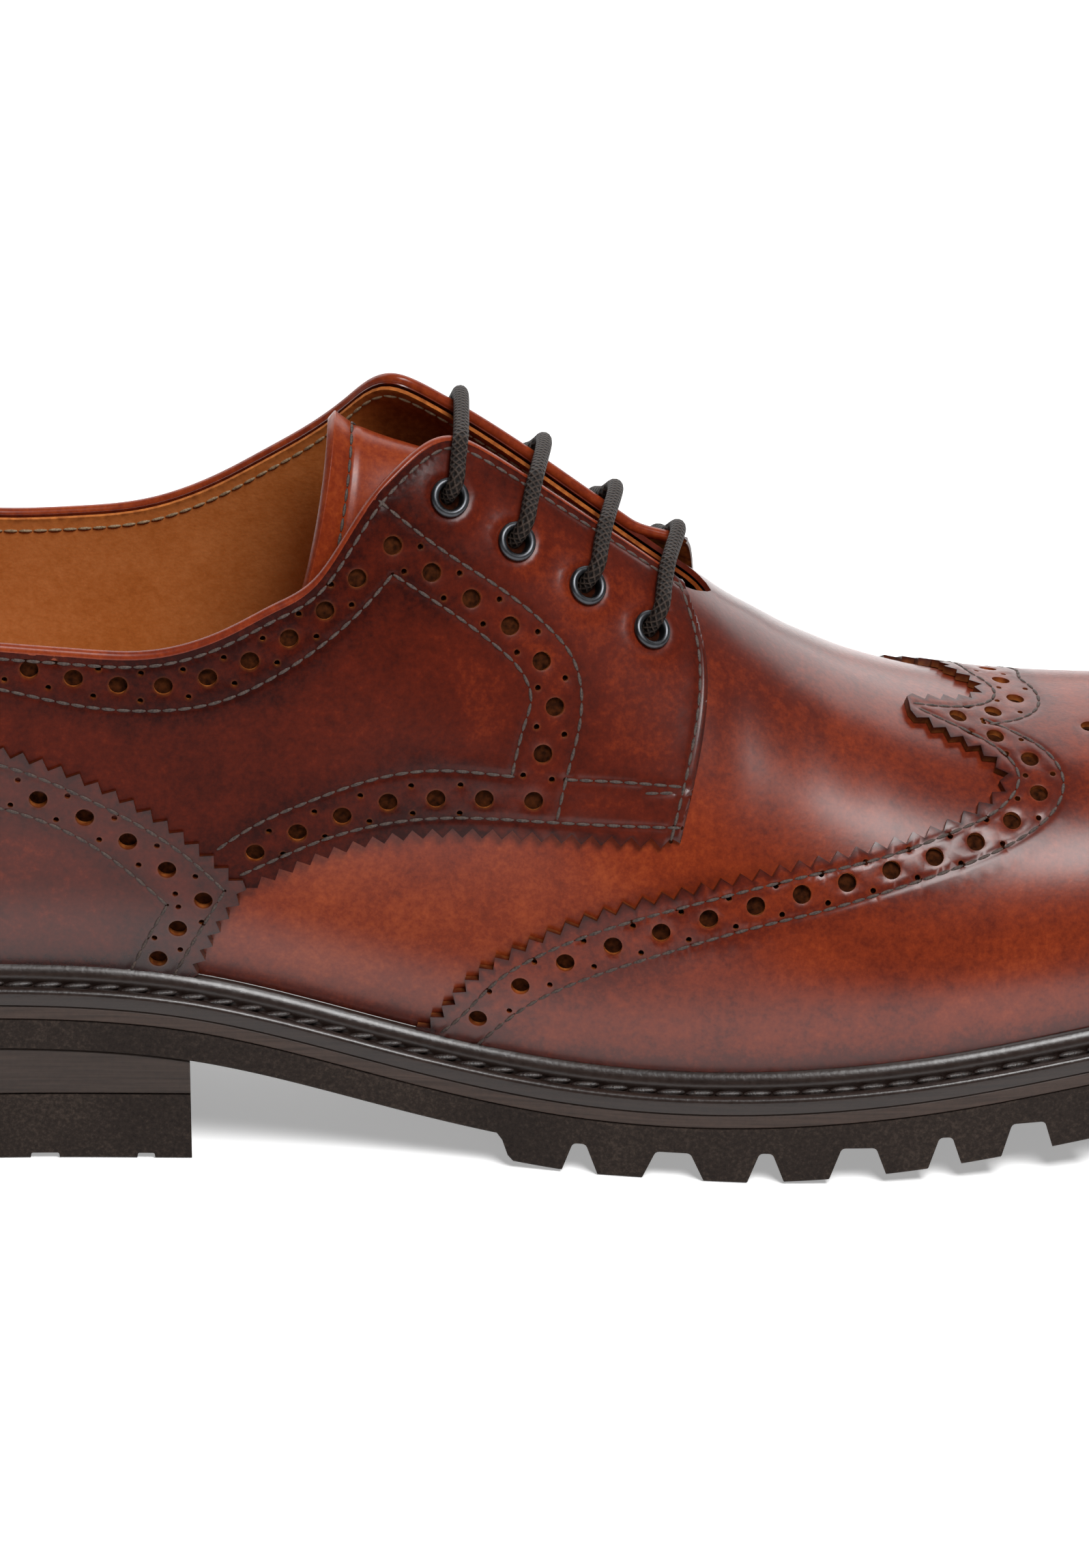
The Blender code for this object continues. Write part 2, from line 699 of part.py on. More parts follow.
def turned(row, side, profile):
    """A ring of sections: (radius, lift) pairs turned about an eyelet's axis."""
    centre, axis, first, second = eyelet_frame(row, side)
    points, faces, count = [], [], EYELET_SIDES
    for i in range(count):
        angle = 2 * np.pi * i / count
        out = np.cos(angle) * first + np.sin(angle) * second
        points += [centre + radius * out + lift * axis for radius, lift in profile]
    turn = len(profile)
    for i in range(count):
        for k in range(turn):
            a, b = i * turn + k, i * turn + (k + 1) % turn
            after = (i + 1) % count * turn
            faces.append((a, after + k, after + (k + 1) % turn, b))
    return points, faces


def plug(row, side):
    """A round cutter through a facing, along its eyelet's axis."""
    centre, axis, first, second = eyelet_frame(row, side)
    angles = 2 * np.pi * np.arange(HOLE_SIDES) / HOLE_SIDES
    foot = centre - HOLE_BELOW * axis
    ring = [foot + EYELET_HOLE * (np.cos(a) * first + np.sin(a) * second) for a in angles]
    return prism(ring, HOLE_LENGTH * axis)


def make_eyelets(upper, quarters):
    seat = OVERLAY_GAP + OVERLAY + GAP
    profile = [(EYELET_BORE, EYELET_FOOT), (EYELET_BORE, seat + EYELET_FLANGE),
               (EYELET_OUTER - EYELET_ROUND, seat + EYELET_FLANGE), (EYELET_OUTER, seat),
               (EYELET_BARREL, seat), (EYELET_BARREL, EYELET_FOOT)]
    for side, word in ((-1, "outer"), (1, "inner")):
        tool = cutter("eyelet_hole_cutter_" + word, *joined([plug(row, side) for row in EYELETS]))
        cut(upper, tool)
        cut(quarters[side], tool)
        for number, row in enumerate(EYELETS, 1):
            make(f"eyelet_{word}_{number}", *turned(row, side, profile), EYELET_METAL)


def make_laces():
    """Bars from eyelet to eyelet: over the ring, then taut from one facing's edge to the other's."""
    for number, row in enumerate(EYELETS, 1):
        halves = []
        for side in (-1, 1):
            low, high = row[side_name(side)], float(COLLAR[side_name(side)](row["q"]))
            past = low + LACE_CLEAR / float(girth([row["q"]], side)[0])
            points = lifted(row["q"] + np.array(LACE_LEAN[side]), side, [low, past, high], LACE_LIFTS)
            halves.append(points if side < 0 else points[::-1])
        path = (np.concatenate(halves) - SHIFT) * MM
        curve = bpy.data.curves.new(f"lace_bar_{number}", "CURVE")
        curve.dimensions = "3D"
        curve.bevel_depth = LACE_RADIUS * MM
        curve.bevel_resolution = 2
        curve.use_fill_caps = True
        spline = curve.splines.new("POLY")
        spline.points.add(len(path) - 1)
        for point, place in zip(spline.points, path):
            point.co = (*place, 1)
        curve.materials.append(LACE_BROWN)
        made = bpy.data.objects.new(f"lace_bar_{number}", curve)
        bpy.context.collection.objects.link(made)


for old in list(bpy.data.objects):
    bpy.data.objects.remove(old)

SHIFT = frame_shift()
UPPER_BROWN = material("upper_leather", (0.11, 0.03, 0.015), 0.35)
LINING_TAN = material("lining_leather", (0.40, 0.17, 0.05), 0.6)
WELT_BLACK = material("welt_leather", (0.02, 0.014, 0.012), 0.4)
MIDSOLE_BROWN = material("midsole_leather", (0.05, 0.035, 0.028), 0.6)
RUBBER_BLACK = material("sole_rubber", (0.035, 0.025, 0.02), 0.85)
STACK_BROWN = material("heel_stack", (0.05, 0.035, 0.025), 0.7)
EYELET_METAL = material("eyelet_metal", (0.08, 0.08, 0.09), 0.3, 1.0)
LACE_BROWN = material("lace_cord", (0.035, 0.025, 0.02), 0.7)

make_outsole()
make_midsole()
make_heel()
make_insole()
make_welt()
UPPER = make_upper()
QUARTERS = {-1: make_quarter("quarter_outer", -1), 1: make_quarter("quarter_inner", 1)}
make_counter()
make_wing()
make_tongue()
make_eyelets(UPPER, QUARTERS)
make_laces()
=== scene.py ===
# %% [markdown]
# # A wing-tip derby shoe
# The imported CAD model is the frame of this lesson: it gives every piece its place and size.
# Each step below replaces a plain solid by a finer piece of the same form, with the finish that
# the real shoe has: burnished leather, punched holes, stitches, a rolled welt, grainy rubber.

import bpy
import numpy as np
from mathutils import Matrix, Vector
from mathutils.geometry import delaunay_2d_cdt


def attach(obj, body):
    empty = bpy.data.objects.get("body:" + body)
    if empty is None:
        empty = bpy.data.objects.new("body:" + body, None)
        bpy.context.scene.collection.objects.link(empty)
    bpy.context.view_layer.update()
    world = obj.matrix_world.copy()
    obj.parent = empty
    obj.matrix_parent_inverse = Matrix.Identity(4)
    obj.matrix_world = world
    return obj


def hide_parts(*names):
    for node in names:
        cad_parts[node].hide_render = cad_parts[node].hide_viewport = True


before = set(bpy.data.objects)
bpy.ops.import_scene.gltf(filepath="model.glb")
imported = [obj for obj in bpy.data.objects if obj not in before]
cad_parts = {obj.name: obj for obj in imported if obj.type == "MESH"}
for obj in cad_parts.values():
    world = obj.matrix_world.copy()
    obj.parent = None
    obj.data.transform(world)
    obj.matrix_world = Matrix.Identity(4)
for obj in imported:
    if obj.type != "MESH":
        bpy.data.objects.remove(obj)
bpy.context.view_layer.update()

# %% [markdown]
# ## Sizes
# The tables are those of the CAD part: millimetres, x from the heel's back to the toe, the
# outer (lateral) side at -y. A place on the upper is (q, side, t): q along the foot, going on
# round both ends as a fan of sections, side -1 or 1, and t the share of the girth from the
# feather edge, where upper meets welt, to the ridge. Short tables and smooth curves are easier
# to follow and to change than a mesh that was pushed about by hand.

# %% Sizes of sole and upper
MM = 0.001
GAP = 0.3
LENGTH = 305.0
HEEL_RADIUS, HEEL_POWER = 34.0, 2.1
TOE_RADIUS, TOE_POWER = 60.0, 2.2
WELT, MIDSOLE = 3.4, 3.0
FEATHER, WALL = 7.0, 2.2
THROAT_END = 178.5
HEEL_POLE, HEEL_ARC = 34.0, 45.0
TOE_POLE, TOE_ARC = 255.0, 65.0
Q_HEEL, Q_TOE = HEEL_POLE - HEEL_ARC, TOE_POLE + TOE_ARC


def natural_spline(xs, ys):
    """A smooth curve through the rows of a short table."""
    xs, ys = np.array(xs, float), np.array(ys, float)
    step = np.diff(xs)
    slope = np.diff(ys) / step
    matrix, right = np.eye(len(xs)), np.zeros(len(xs))
    for i in range(1, len(xs) - 1):
        matrix[i, i - 1:i + 2] = step[i - 1], 2 * (step[i - 1] + step[i]), step[i]
        right[i] = 6 * (slope[i] - slope[i - 1])
    bend = np.linalg.solve(matrix, right)

    def curve(x):
        x = np.clip(np.asarray(x, float), xs[0], xs[-1])
        i = np.clip(np.searchsorted(xs, x) - 1, 0, len(xs) - 2)
        a, b = (xs[i + 1] - x) / step[i], (x - xs[i]) / step[i]
        cubic = (a**3 - a) * bend[i] + (b**3 - b) * bend[i + 1]
        return a * ys[i] + b * ys[i + 1] + cubic * step[i]**2 / 6

    return curve


def table(names, *rows):
    """One curve for each named column, over the first column."""
    xs = [row[0] for row in rows]
    return {name: natural_spline(xs, [row[k] for row in rows])
            for k, name in enumerate(names.split()) if k}


SOLE = table(
    "x lateral medial rubber_top",
    (0, 34.0, 34.0, 31.0), (43, 33.0, 33.0, 29.9), (80, 35.0, 33.0, 27.0),
    (118, 38.0, 33.5, 17.1), (152, 44.5, 39.0, 11.7), (186, 50.0, 47.5, 11.8),
    (219, 51.0, 52.0, 14.8), (252, 47.5, 53.0, 19.0), (305, 42.0, 51.0, 26.0))
LAST = table(
    "q bulge_lateral bulge_medial ridge_z ridge_y full_lateral full_medial",
    (-11, 4.4, 4.4, 168.0, 0.0, 2.3, 2.3),
    (43, 5.5, 5.5, 168.0, 0.0, 2.3, 2.3),
    (80, 6.0, 6.0, 162.0, 0.5, 2.1, 2.1),
    (108, 7.1, 7.0, 151.0, 2.0, 1.9, 1.95),
    (130, 7.1, 7.0, 139.0, 3.0, 1.8, 1.9),
    (152, 6.0, 7.5, 121.0, 3.0, 1.75, 1.85),
    (175, 5.4, 6.9, 101.0, 3.0, 1.75, 1.85),
    (198, 4.0, 5.5, 84.5, 3.0, 1.85, 2.0),
    (219, 3.0, 3.5, 74.5, 3.0, 2.05, 2.25),
    (240, 1.8, 2.0, 69.4, 3.2, 2.2, 2.45),
    (255, 1.3, 1.4, 68.2, 3.5, 2.25, 2.45),
    (275, 1.1, 1.1, 68.2, 3.5, 2.3, 2.4),
    (320, 1.0, 1.0, 68.2, 3.5, 2.35, 2.35))
COLLAR = table(
    "q lateral medial",
    (-11, 0.530, 0.530), (20, 0.512, 0.512), (45, 0.494, 0.493), (60, 0.491, 0.503),
    (73, 0.500, 0.528), (88, 0.556, 0.604), (96, 0.603, 0.665), (104, 0.660, 0.735),
    (111, 0.752, 0.815), (115, 0.803, 0.870), (119, 0.845, 0.908), (124, 0.893, 0.918),
    (129, 0.925, 0.914), (136, 0.936, 0.911), (152, 0.943, 0.911), (170, 0.955, 0.918),
    (175, 0.966, 0.940), (178.5, 1.0, 1.0))
print("sole and upper: tables of", len(SOLE) + len(LAST) + len(COLLAR), "curves")

# %% [markdown]
# ## The last
# A shoe is built over a last, a solid form of the foot. Its surface is worked out once on a fine
# grid, with its normals, and every leather piece then reads its points there. Interpolating in a
# grid is quick enough for tens of thousands of points, and all pieces fit each other.


# %% Outline of the sole and sections of the last
def side_name(side):
    return "lateral" if side < 0 else "medial"


def round_end(distance, radius, power):
    """Share of the full width at a distance from a round end."""
    past = np.clip((radius - distance) / radius, 0, 1)
    return (1 - past**power)**(1 / power)


def half_width(x, side, inset):
    heel = round_end(x - inset, HEEL_RADIUS - inset, HEEL_POWER)
    toe = round_end(LENGTH - inset - x, TOE_RADIUS - inset, TOE_POWER)
    return (SOLE[side_name(side)](x) - inset) * heel * toe


def fan_reach(pole, tip, side, inset, angle):
    """Distance from a pole to the outline, at an angle off straight across."""
    along = pole + (tip - pole) * np.sin(np.linspace(0, np.pi / 2, 600))
    across = half_width(along, side, inset)
    return np.interp(angle, np.arctan2(abs(along - pole), across), np.hypot(along - pole, across))


def station(q, side, inset):
    """Centre, direction and reach of the sections at q."""
    q = np.asarray(q, float)
    centre = np.clip(q, HEEL_POLE, TOE_POLE)
    heel = np.clip((HEEL_POLE - q) / HEEL_ARC, 0, 1) * np.pi / 2
    toe = np.clip((q - TOE_POLE) / TOE_ARC, 0, 1) * np.pi / 2
    direction = np.stack([np.sin(toe) - np.sin(heel), side * np.cos(toe) * np.cos(heel)], -1)
    reach = half_width(centre, side, inset)
    reach = np.where(heel > 0, fan_reach(HEEL_POLE, inset, side, inset, heel), reach)
    reach = np.where(toe > 0, fan_reach(TOE_POLE, LENGTH - inset, side, inset, toe), reach)
    return centre, direction, reach


def edge(q, side, inset):
    """Plan points of the sole's outline, moved in by an inset."""
    centre, direction, reach = station(q, side, inset)
    return np.stack([centre + direction[..., 0] * reach, direction[..., 1] * reach], -1)


def rubber_top(x):
    return SOLE["rubber_top"](x)


def lip(x):
    """Height of the welt's flat lip."""
    return rubber_top(x) + MIDSOLE + WELT


def profiles(q, side):
    """Sections of the last at each q, as points from feather edge to ridge."""
    name = side_name(side)
    q = np.asarray(q, float)[:, None]
    rise = np.sin(np.linspace(0, np.pi / 2, 241))[None, :]
    centre, direction, reach = station(q, side, FEATHER)
    full = LAST["full_" + name](q)
    out = (reach + LAST["bulge_" + name](q) * (1 - (1 - rise)**4)) * (1 - rise**full)**(1 / full)
    foot = lip(centre + direction[..., 0] * reach) + GAP
    x = centre + direction[..., 0] * out
    y = direction[..., 1] * out + LAST["ridge_y"](q) * rise
    z = foot + (LAST["ridge_z"](q) - foot) * rise
    return np.stack(np.broadcast_arrays(x, y, z), -1)


# %% Sample the last once
Q_STEP = 0.5
Q_GRID = np.arange(Q_HEEL, Q_TOE + Q_STEP / 2, Q_STEP)
T_GRID = np.linspace(0, 1, 201)


def sample_side(side):
    """Points of one side at even shares of the girth, and the girths."""
    lines = profiles(Q_GRID, side)
    steps = np.linalg.norm(np.diff(lines, axis=1), axis=2)
    lengths = np.concatenate([np.zeros((len(lines), 1)), np.cumsum(steps, axis=1)], axis=1)
    points = [[np.interp(T_GRID * length[-1], length, line[:, k]) for k in range(3)]
              for length, line in zip(lengths, lines)]
    return np.array(points).transpose(0, 2, 1), lengths[:, -1]


def unit(vectors):
    return vectors / np.maximum(np.linalg.norm(vectors, axis=-1, keepdims=True), 1e-9)


def shared_normals(skin):
    """Outward normals; where the two sides meet, at ridge, heel and toe, they share one."""
    normals = []
    for side, points in zip((-1, 1), skin):
        normals.append(unit(-side * np.cross(np.gradient(points, axis=0), np.gradient(points, axis=1))))
    normals = np.array(normals)
    below = len(T_GRID) - 8
    ridge = unit(normals[0, :, below] + normals[1, :, below])
    ridge[Q_GRID > TOE_POLE] = ridge[np.searchsorted(Q_GRID, TOE_POLE)]
    for j in range(below, len(T_GRID)):
        blend = (j - below) / (len(T_GRID) - 1 - below)
        normals[:, :, j] = unit(normals[:, :, below] * (1 - blend) + ridge * blend)
    for end in (0, -1):
        normals[:, end] = unit(normals[0, end] + normals[1, end])
    return normals


LATERAL, MEDIAL = sample_side(-1), sample_side(1)
SKIN = np.array([LATERAL[0], MEDIAL[0]])
GIRTH = np.array([LATERAL[1], MEDIAL[1]])
NORMAL = shared_normals(SKIN)
OUTLINE = np.concatenate([edge(np.linspace(Q_HEEL, Q_TOE, 38), side, 0) for side in (-1, 1)])
SHIFT = np.array([*(OUTLINE.min(axis=0) + OUTLINE.max(axis=0)) / 2, 0])


def read_grid(grid, q, side, t):
    """A sampled grid, read between its samples."""
    i = np.clip((q - Q_HEEL) / Q_STEP, 0, len(Q_GRID) - 1.001)
    j = np.minimum(t * (len(T_GRID) - 1), len(T_GRID) - 1.001)
    i0, j0, k = i.astype(int), np.maximum(j, 0).astype(int), (side > 0).astype(int)
    a, b = (i - i0)[..., None], (j - j0)[..., None]
    low = grid[k, i0, j0] * (1 - a) + grid[k, i0 + 1, j0] * a
    high = grid[k, i0, j0 + 1] * (1 - a) + grid[k, i0 + 1, j0 + 1] * a
    return low * (1 - b) + high * b


def on_last(q, side, t, lift=0.0):
    """Points off the last by a lift, in millimetres."""
    q, side, t, lift = np.broadcast_arrays(*[np.asarray(a, float) for a in (q, side, t, lift)])
    return read_grid(SKIN, q, side, t) + unit(read_grid(NORMAL, q, side, t)) * lift[..., None]


def girth(q, side):
    q, side = np.broadcast_arrays(np.asarray(q, float), np.asarray(side, float))
    return np.where(side < 0, np.interp(q, Q_GRID, GIRTH[0]), np.interp(q, Q_GRID, GIRTH[1]))


print("last:", SKIN.shape[1], "sections; origin moved by", np.round(SHIFT, 2), "mm")

# %% [markdown]
# ## Tools for modelling
# Most pieces start as Blender's grid primitive, which is laid on a form: a function says where
# each of its points goes. A grid has clean rows of quads and a UV map from the start, so it
# suits strips, rings, tubes and shells. Doubled points along seams are merged afterwards.


# %% Grids laid on a form
def only(piece):
    """Selects one object alone, because operators act on all that is selected."""
    bpy.ops.object.select_all(action="DESELECT")
    piece.select_set(True)
    bpy.context.view_layer.objects.active = piece


def edit(piece, *steps):
    """Runs edit-mode operators on all of a piece; each step is (operator, settings)."""
    only(piece)
    bpy.ops.object.mode_set(mode="EDIT")
    bpy.ops.mesh.select_all(action="SELECT")
    for operator, settings in steps:
        operator(**settings)
    bpy.ops.object.mode_set(mode="OBJECT")


def points_of(piece):
    flat = np.empty(len(piece.data.vertices) * 3)
    piece.data.vertices.foreach_get("co", flat)
    return flat.reshape(-1, 3)


def put_points(piece, points):
    piece.data.vertices.foreach_set("co", ((points - SHIFT) * MM).ravel())
    piece.data.update()


def laid_grid(name, columns, rows, lay, outward=True):
    """A grid primitive whose points go where lay(u, v) says; u and v run from 0 to 1."""
    bpy.ops.object.select_all(action="DESELECT")
    bpy.ops.mesh.primitive_grid_add(x_subdivisions=columns, y_subdivisions=rows, size=1)
    piece = bpy.context.object
    piece.name = piece.data.name = name
    share = np.clip(points_of(piece)[:, :2] + 0.5, 0, 1)
    put_points(piece, lay(share[:, 0], share[:, 1]))
    steps = [(bpy.ops.mesh.remove_doubles, {"threshold": 2e-6})]
    if outward:
        steps.append((bpy.ops.mesh.normals_make_consistent, {"inside": False}))
    edit(piece, *steps)
    bpy.ops.object.shade_smooth()
    return piece


def apply(piece, kind, **settings):
    """Adds a modifier and applies it at once."""
    only(piece)
    modifier = piece.modifiers.new(kind.lower(), kind)
    for key, value in settings.items():
        setattr(modifier, key, value)
    bpy.ops.object.modifier_apply(modifier=modifier.name)


def join(name, pieces):
    only(pieces[0])
    for piece in pieces[1:]:
        piece.select_set(True)
    bpy.ops.object.join()
    pieces[0].name = pieces[0].data.name = name
    return pieces[0]


def finish_piece(piece, materials, slot, *nodes):
    """Gives a piece its materials, puts it under the root, and hides the CAD parts that it stands for."""
    piece.data.materials.clear()
    for material in materials:
        piece.data.materials.append(material)
    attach(piece, "root")
    if nodes:
        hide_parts(*nodes)
    print(piece.name, len(piece.data.polygons), "faces")


def smooth_step(x, low, high):
    """0 below low, 1 above high, and a soft rise between them."""
    share = np.clip((x - low) / (high - low), 0, 1)
    return share * share * (3 - 2 * share)


def bell(x, width):
    """A soft hump: 1 in its middle, fading over a width."""
    return np.exp(-(x / width)**2)


print("modelling tools ready")


# %% [markdown]
# ## Shader maths
# A finish is a tree of nodes. Writing it as sums and products keeps it readable: the class below
# wraps one socket, and an expression on it adds the Math nodes.


# %% Sockets that can be added and multiplied
class Socket:
    def __init__(self, finish, out):
        self.finish, self.out = finish, out

    def math(self, operation, first, second):
        return self.finish.node("Math", {"operation": operation}, {0: first, 1: second}, 0)

    def __add__(self, other):
        return self.math("ADD", self, other)

    def __sub__(self, other):
        return self.math("SUBTRACT", self, other)

    def __rsub__(self, other):
        return self.math("SUBTRACT", other, self)

    def __mul__(self, other):
        return self.math("MULTIPLY", self, other)

    def least(self, other):
        return self.math("MINIMUM", self, other)

    def most(self, other):
        return self.math("MAXIMUM", self, other)

    def clamped(self):
        return self.most(0.0).least(1.0)

    __radd__ = __add__
    __rmul__ = __mul__


class Finish:
    """A material, with one method that adds any node to it."""

    def __init__(self, name):
        self.material = bpy.data.materials.new(name)
        self.material.use_nodes = True
        self.tree = self.material.node_tree
        self.shader = self.tree.nodes["Principled BSDF"]
        self.place = self.node("TexCoord", {}, {}, "Object")

    def node(self, kind, settings, sockets, out):
        made = self.tree.nodes.new("ShaderNode" + kind)
        for key, value in settings.items():
            if key == "stops":
                elements = made.color_ramp.elements
                while len(elements) < len(value):
                    elements.new(1.0)
                for element, (at, colour) in zip(elements, value):
                    element.position, element.color = at, (*colour, 1)
            else:
                setattr(made, key, value)
        for key, value in sockets.items():
            self.feed(made.inputs[key], value)
        return Socket(self, made.outputs[out])

    def feed(self, socket, value):
        if isinstance(value, Socket):
            self.tree.links.new(value.out, socket)
        else:
            socket.default_value = value

    def set(self, **inputs):
        """Feeds the shader; a name's underscores stand for spaces."""
        for key, value in inputs.items():
            self.feed(self.shader.inputs[key.replace("_", " ")], value)

    def noise(self, scale, detail=2.0, place=None, roughness=0.5):
        sockets = {"Vector": place or self.place, "Scale": scale, "Detail": detail, "Roughness": roughness}
        return self.node("TexNoise", {}, sockets, "Fac")

    def cells(self, scale):
        return self.node("TexVoronoi", {"feature": "F1"}, {"Vector": self.place, "Scale": scale}, "Distance")

    def stretched(self, x, y, z):
        """Object coordinates, scaled unevenly for streaks."""
        return self.node("Mapping", {}, {"Vector": self.place, "Scale": (x, y, z)}, 0)

    def attribute(self, name):
        return self.node("Attribute", {"attribute_name": name}, {}, "Fac")

    def ramp(self, value, *stops):
        return self.node("ValToRGB", {"stops": stops}, {"Fac": value}, "Color")

    def mixed(self, share, first, second):
        sockets = {0: share, 6: first, 7: second}
        return self.node("Mix", {"data_type": "RGBA"}, sockets, 2)

    def bump(self, height, distance, strength=1.0, below=None):
        sockets = {"Height": height, "Distance": distance, "Strength": strength}
        if below:
            sockets["Normal"] = below
        return self.node("Bump", {}, sockets, "Normal")


def rgb(red, green, blue):
    """A colour as the eye reads it, from 0 to 255, made linear."""
    parts = np.array([red, green, blue]) / 255
    return tuple(float(c) for c in np.where(parts <= 0.04045, parts / 12.92, ((parts + 0.055) / 1.055)**2.4))


# %% [markdown]
# ## Leather
# The upper is pull-up calf: an orange-brown ground that is burnished to burgundy at seams and over
# the heel, with fine flecks, a pebbled grain and a wax shine. Three attributes are set on each
# piece: the first is how dark it was rubbed, from its distance to edges and rows, with painted
# shade added just above the welt and low and forward in the lining, and a painted sheen that
# lightens the worn, rolled topline; "polish" is how much wax it has, and "raw" marks cut edges,
# which stay tan. An image could be painted for it, but noise in Object coordinates needs no file
# and stays sharp from any distance.


# %% Leather finishes
def leather(name, stops, shine):
    made = Finish(name)
    cloud = made.noise(26.0, 3.0)
    fleck = made.noise(950.0, 4.0, roughness=0.7)
    pores = made.cells(1500.0)
    blotch, mottle = made.noise(130.0, 3.0), made.noise(420.0, 4.0, roughness=0.65)
    uneven = (cloud - 0.5) * 0.5 + (blotch - 0.5) * 0.3 + (mottle - 0.5) * 0.4 + (fleck - 0.5) * 0.6
    # The first attribute holds burnish, plus painted shade and painted sheen where pieces set them.
    colour = made.ramp((made.attribute("burnish") + uneven).clamped(), *stops)
    raw = made.attribute("raw")
    tan = made.ramp(made.noise(700.0, 3.0), (0.35, rgb(112, 58, 24)), (0.7, rgb(178, 106, 50)))
    made.set(Base_Color=made.mixed(raw, colour, tan))
    dull = 0.54 - shine * 0.23 + (fleck - 0.5) * 0.14 + (cloud - 0.5) * 0.08
    made.set(Roughness=(dull + raw * 0.3).clamped(), Specular_IOR_Level=0.05)
    made.set(Coat_Weight=made.attribute("polish").clamped(), Coat_Roughness=0.27)
    creases = made.noise(330.0, 5.0, roughness=0.6)
    grain = made.bump(pores * 0.5 + fleck * 0.8, 0.00010, 0.35)
    made.set(Normal=made.bump(creases, 0.0004, 0.10, grain))
    return made.material


LEATHER_STOPS = ((0.0, rgb(140, 61, 26)), (0.3, rgb(111, 40, 17)), (0.58, rgb(78, 24, 12)),
                 (1.0, rgb(38, 10, 7)))
UPPER_LEATHER = leather("upper_leather", LEATHER_STOPS, 1.0)
LINING_STOPS = ((0.0, rgb(194, 121, 68)), (0.4, rgb(172, 98, 46)), (1.0, rgb(110, 52, 20)))
LINING_LEATHER = leather("lining_leather", LINING_STOPS, 0.1)
print("leather finishes made")

# %% [markdown]
# ## Sole and trim finishes
# The welt is dressed almost black and polished, the midsole's edge is brown and streaked along the
# layers, the rubber is matt and speckled, the thread is grey-brown and twisted. One dark grey would
# pass from afar, but gloss and grain tell these apart, so each has its own small tree of nodes.


# %% Finishes of sole, thread, metal and lace
def dressed_edge(name, dark, light, roughness, coat, relief):
    """Leather edges with streaks along their layers; relief is how far the streaks stand out."""
    made = Finish(name)
    streak = made.noise(1.0, 4.0, made.stretched(60, 60, 1600))
    speck = made.noise(900.0, 3.0)
    made.set(Base_Color=made.ramp(streak * 0.7 + speck * 0.3, (0.3, dark), (0.7, light)))
    made.set(Roughness=(roughness + (speck - 0.5) * 0.2).clamped(), Specular_IOR_Level=0.3)
    made.set(Coat_Weight=coat, Coat_Roughness=0.25)
    made.set(Normal=made.bump(streak * relief + speck * 0.8, 0.0002, 0.5))
    return made.material


def rubber(name):
    made = Finish(name)
    speck = made.noise(1300.0, 3.0, roughness=0.75)
    patch = made.noise(40.0, 2.0)
    shade = speck * 0.75 + patch * 0.25
    stops = (0.3, rgb(25, 19, 17)), (0.52, rgb(41, 33, 29)), (0.75, rgb(68, 57, 50))
    made.set(Base_Color=made.ramp(shade, *stops), Roughness=0.82, Specular_IOR_Level=0.15)
    made.set(Normal=made.bump(speck, 0.0003, 0.7))
    return made.material


def thread(name, dark, light, roughness):
    made = Finish(name)
    fibre = made.noise(2600.0, 3.0)
    made.set(Base_Color=made.ramp(fibre, (0.3, dark), (0.7, light)), Roughness=roughness)
    made.set(Normal=made.bump(fibre, 0.0002, 0.6))
    return made.material


def braid(name):
    """A round waxed lace: strands cross in diamonds along the UV map, darker between strands as painted
    shade, with light flecks on their crests as painted glints.
    """
    made = Finish(name)
    parts = made.node("SeparateXYZ", {}, {"Vector": made.node("TexCoord", {}, {}, "UV")}, "X")
    along, around = parts, Socket(made, parts.out.node.outputs["Y"])

    def strand(turn):
        swing = made.node("Math", {"operation": "SINE"}, {0: along * 1450.0 + around * turn}, 0)
        return swing * 0.5 + 0.5

    knit = strand(6 * 2 * np.pi).most(strand(-6 * 2 * np.pi))
    fibre = made.noise(2400.0, 3.0)
    # Painted light: the knit darkens the grooves between strands and lights flecks on their crests.
    shade = (knit * 0.6 + fibre * 0.5).clamped()
    stops = (0.3, rgb(10, 7, 6)), (0.7, rgb(26, 19, 16)), (1.0, rgb(72, 60, 53))
    made.set(Base_Color=made.ramp(shade, *stops), Roughness=0.55, Specular_IOR_Level=0.12)
    made.set(Normal=made.bump(knit + fibre * 0.4, 0.0003, 0.8))
    return made.material


def metal(name, colour, roughness):
    made = Finish(name)
    scuff = made.noise(600.0, 4.0)
    made.set(Base_Color=made.ramp(scuff, (0.3, colour), (0.8, tuple(1.6 * c for c in colour))), Metallic=1.0)
    made.set(Roughness=(roughness + (scuff - 0.5) * 0.25).clamped())
    return made.material


def hole_floor(name, dark, light):
    made = Finish(name)
    made.set(Base_Color=made.ramp(made.noise(900.0), (0.3, dark), (0.8, light)))
    made.set(Roughness=0.9, Specular_IOR_Level=0.0)
    return made.material


WELT_LEATHER = dressed_edge("welt_leather", rgb(25, 16, 13), rgb(43, 31, 26), 0.34, 0.3, 0.2)
MIDSOLE_LEATHER = dressed_edge("midsole_leather", rgb(42, 31, 26), rgb(68, 53, 46), 0.55, 0.0, 1.0)
STACK_LEATHER = dressed_edge("heel_stack", rgb(38, 29, 25), rgb(60, 48, 42), 0.55, 0.0, 1.0)
SOLE_RUBBER = rubber("sole_rubber")
THREAD = thread("seam_thread", rgb(30, 20, 17), rgb(80, 64, 56), 0.7)
PALE_THREAD = thread("lining_thread", rgb(92, 72, 50), rgb(150, 128, 100), 0.7)
WELT_THREAD = thread("welt_thread", rgb(16, 11, 10), rgb(52, 42, 38), 0.45)
EYELET_METAL = metal("eyelet_metal", (0.055, 0.057, 0.062), 0.4)
LACE_CORD = braid("lace_cord")
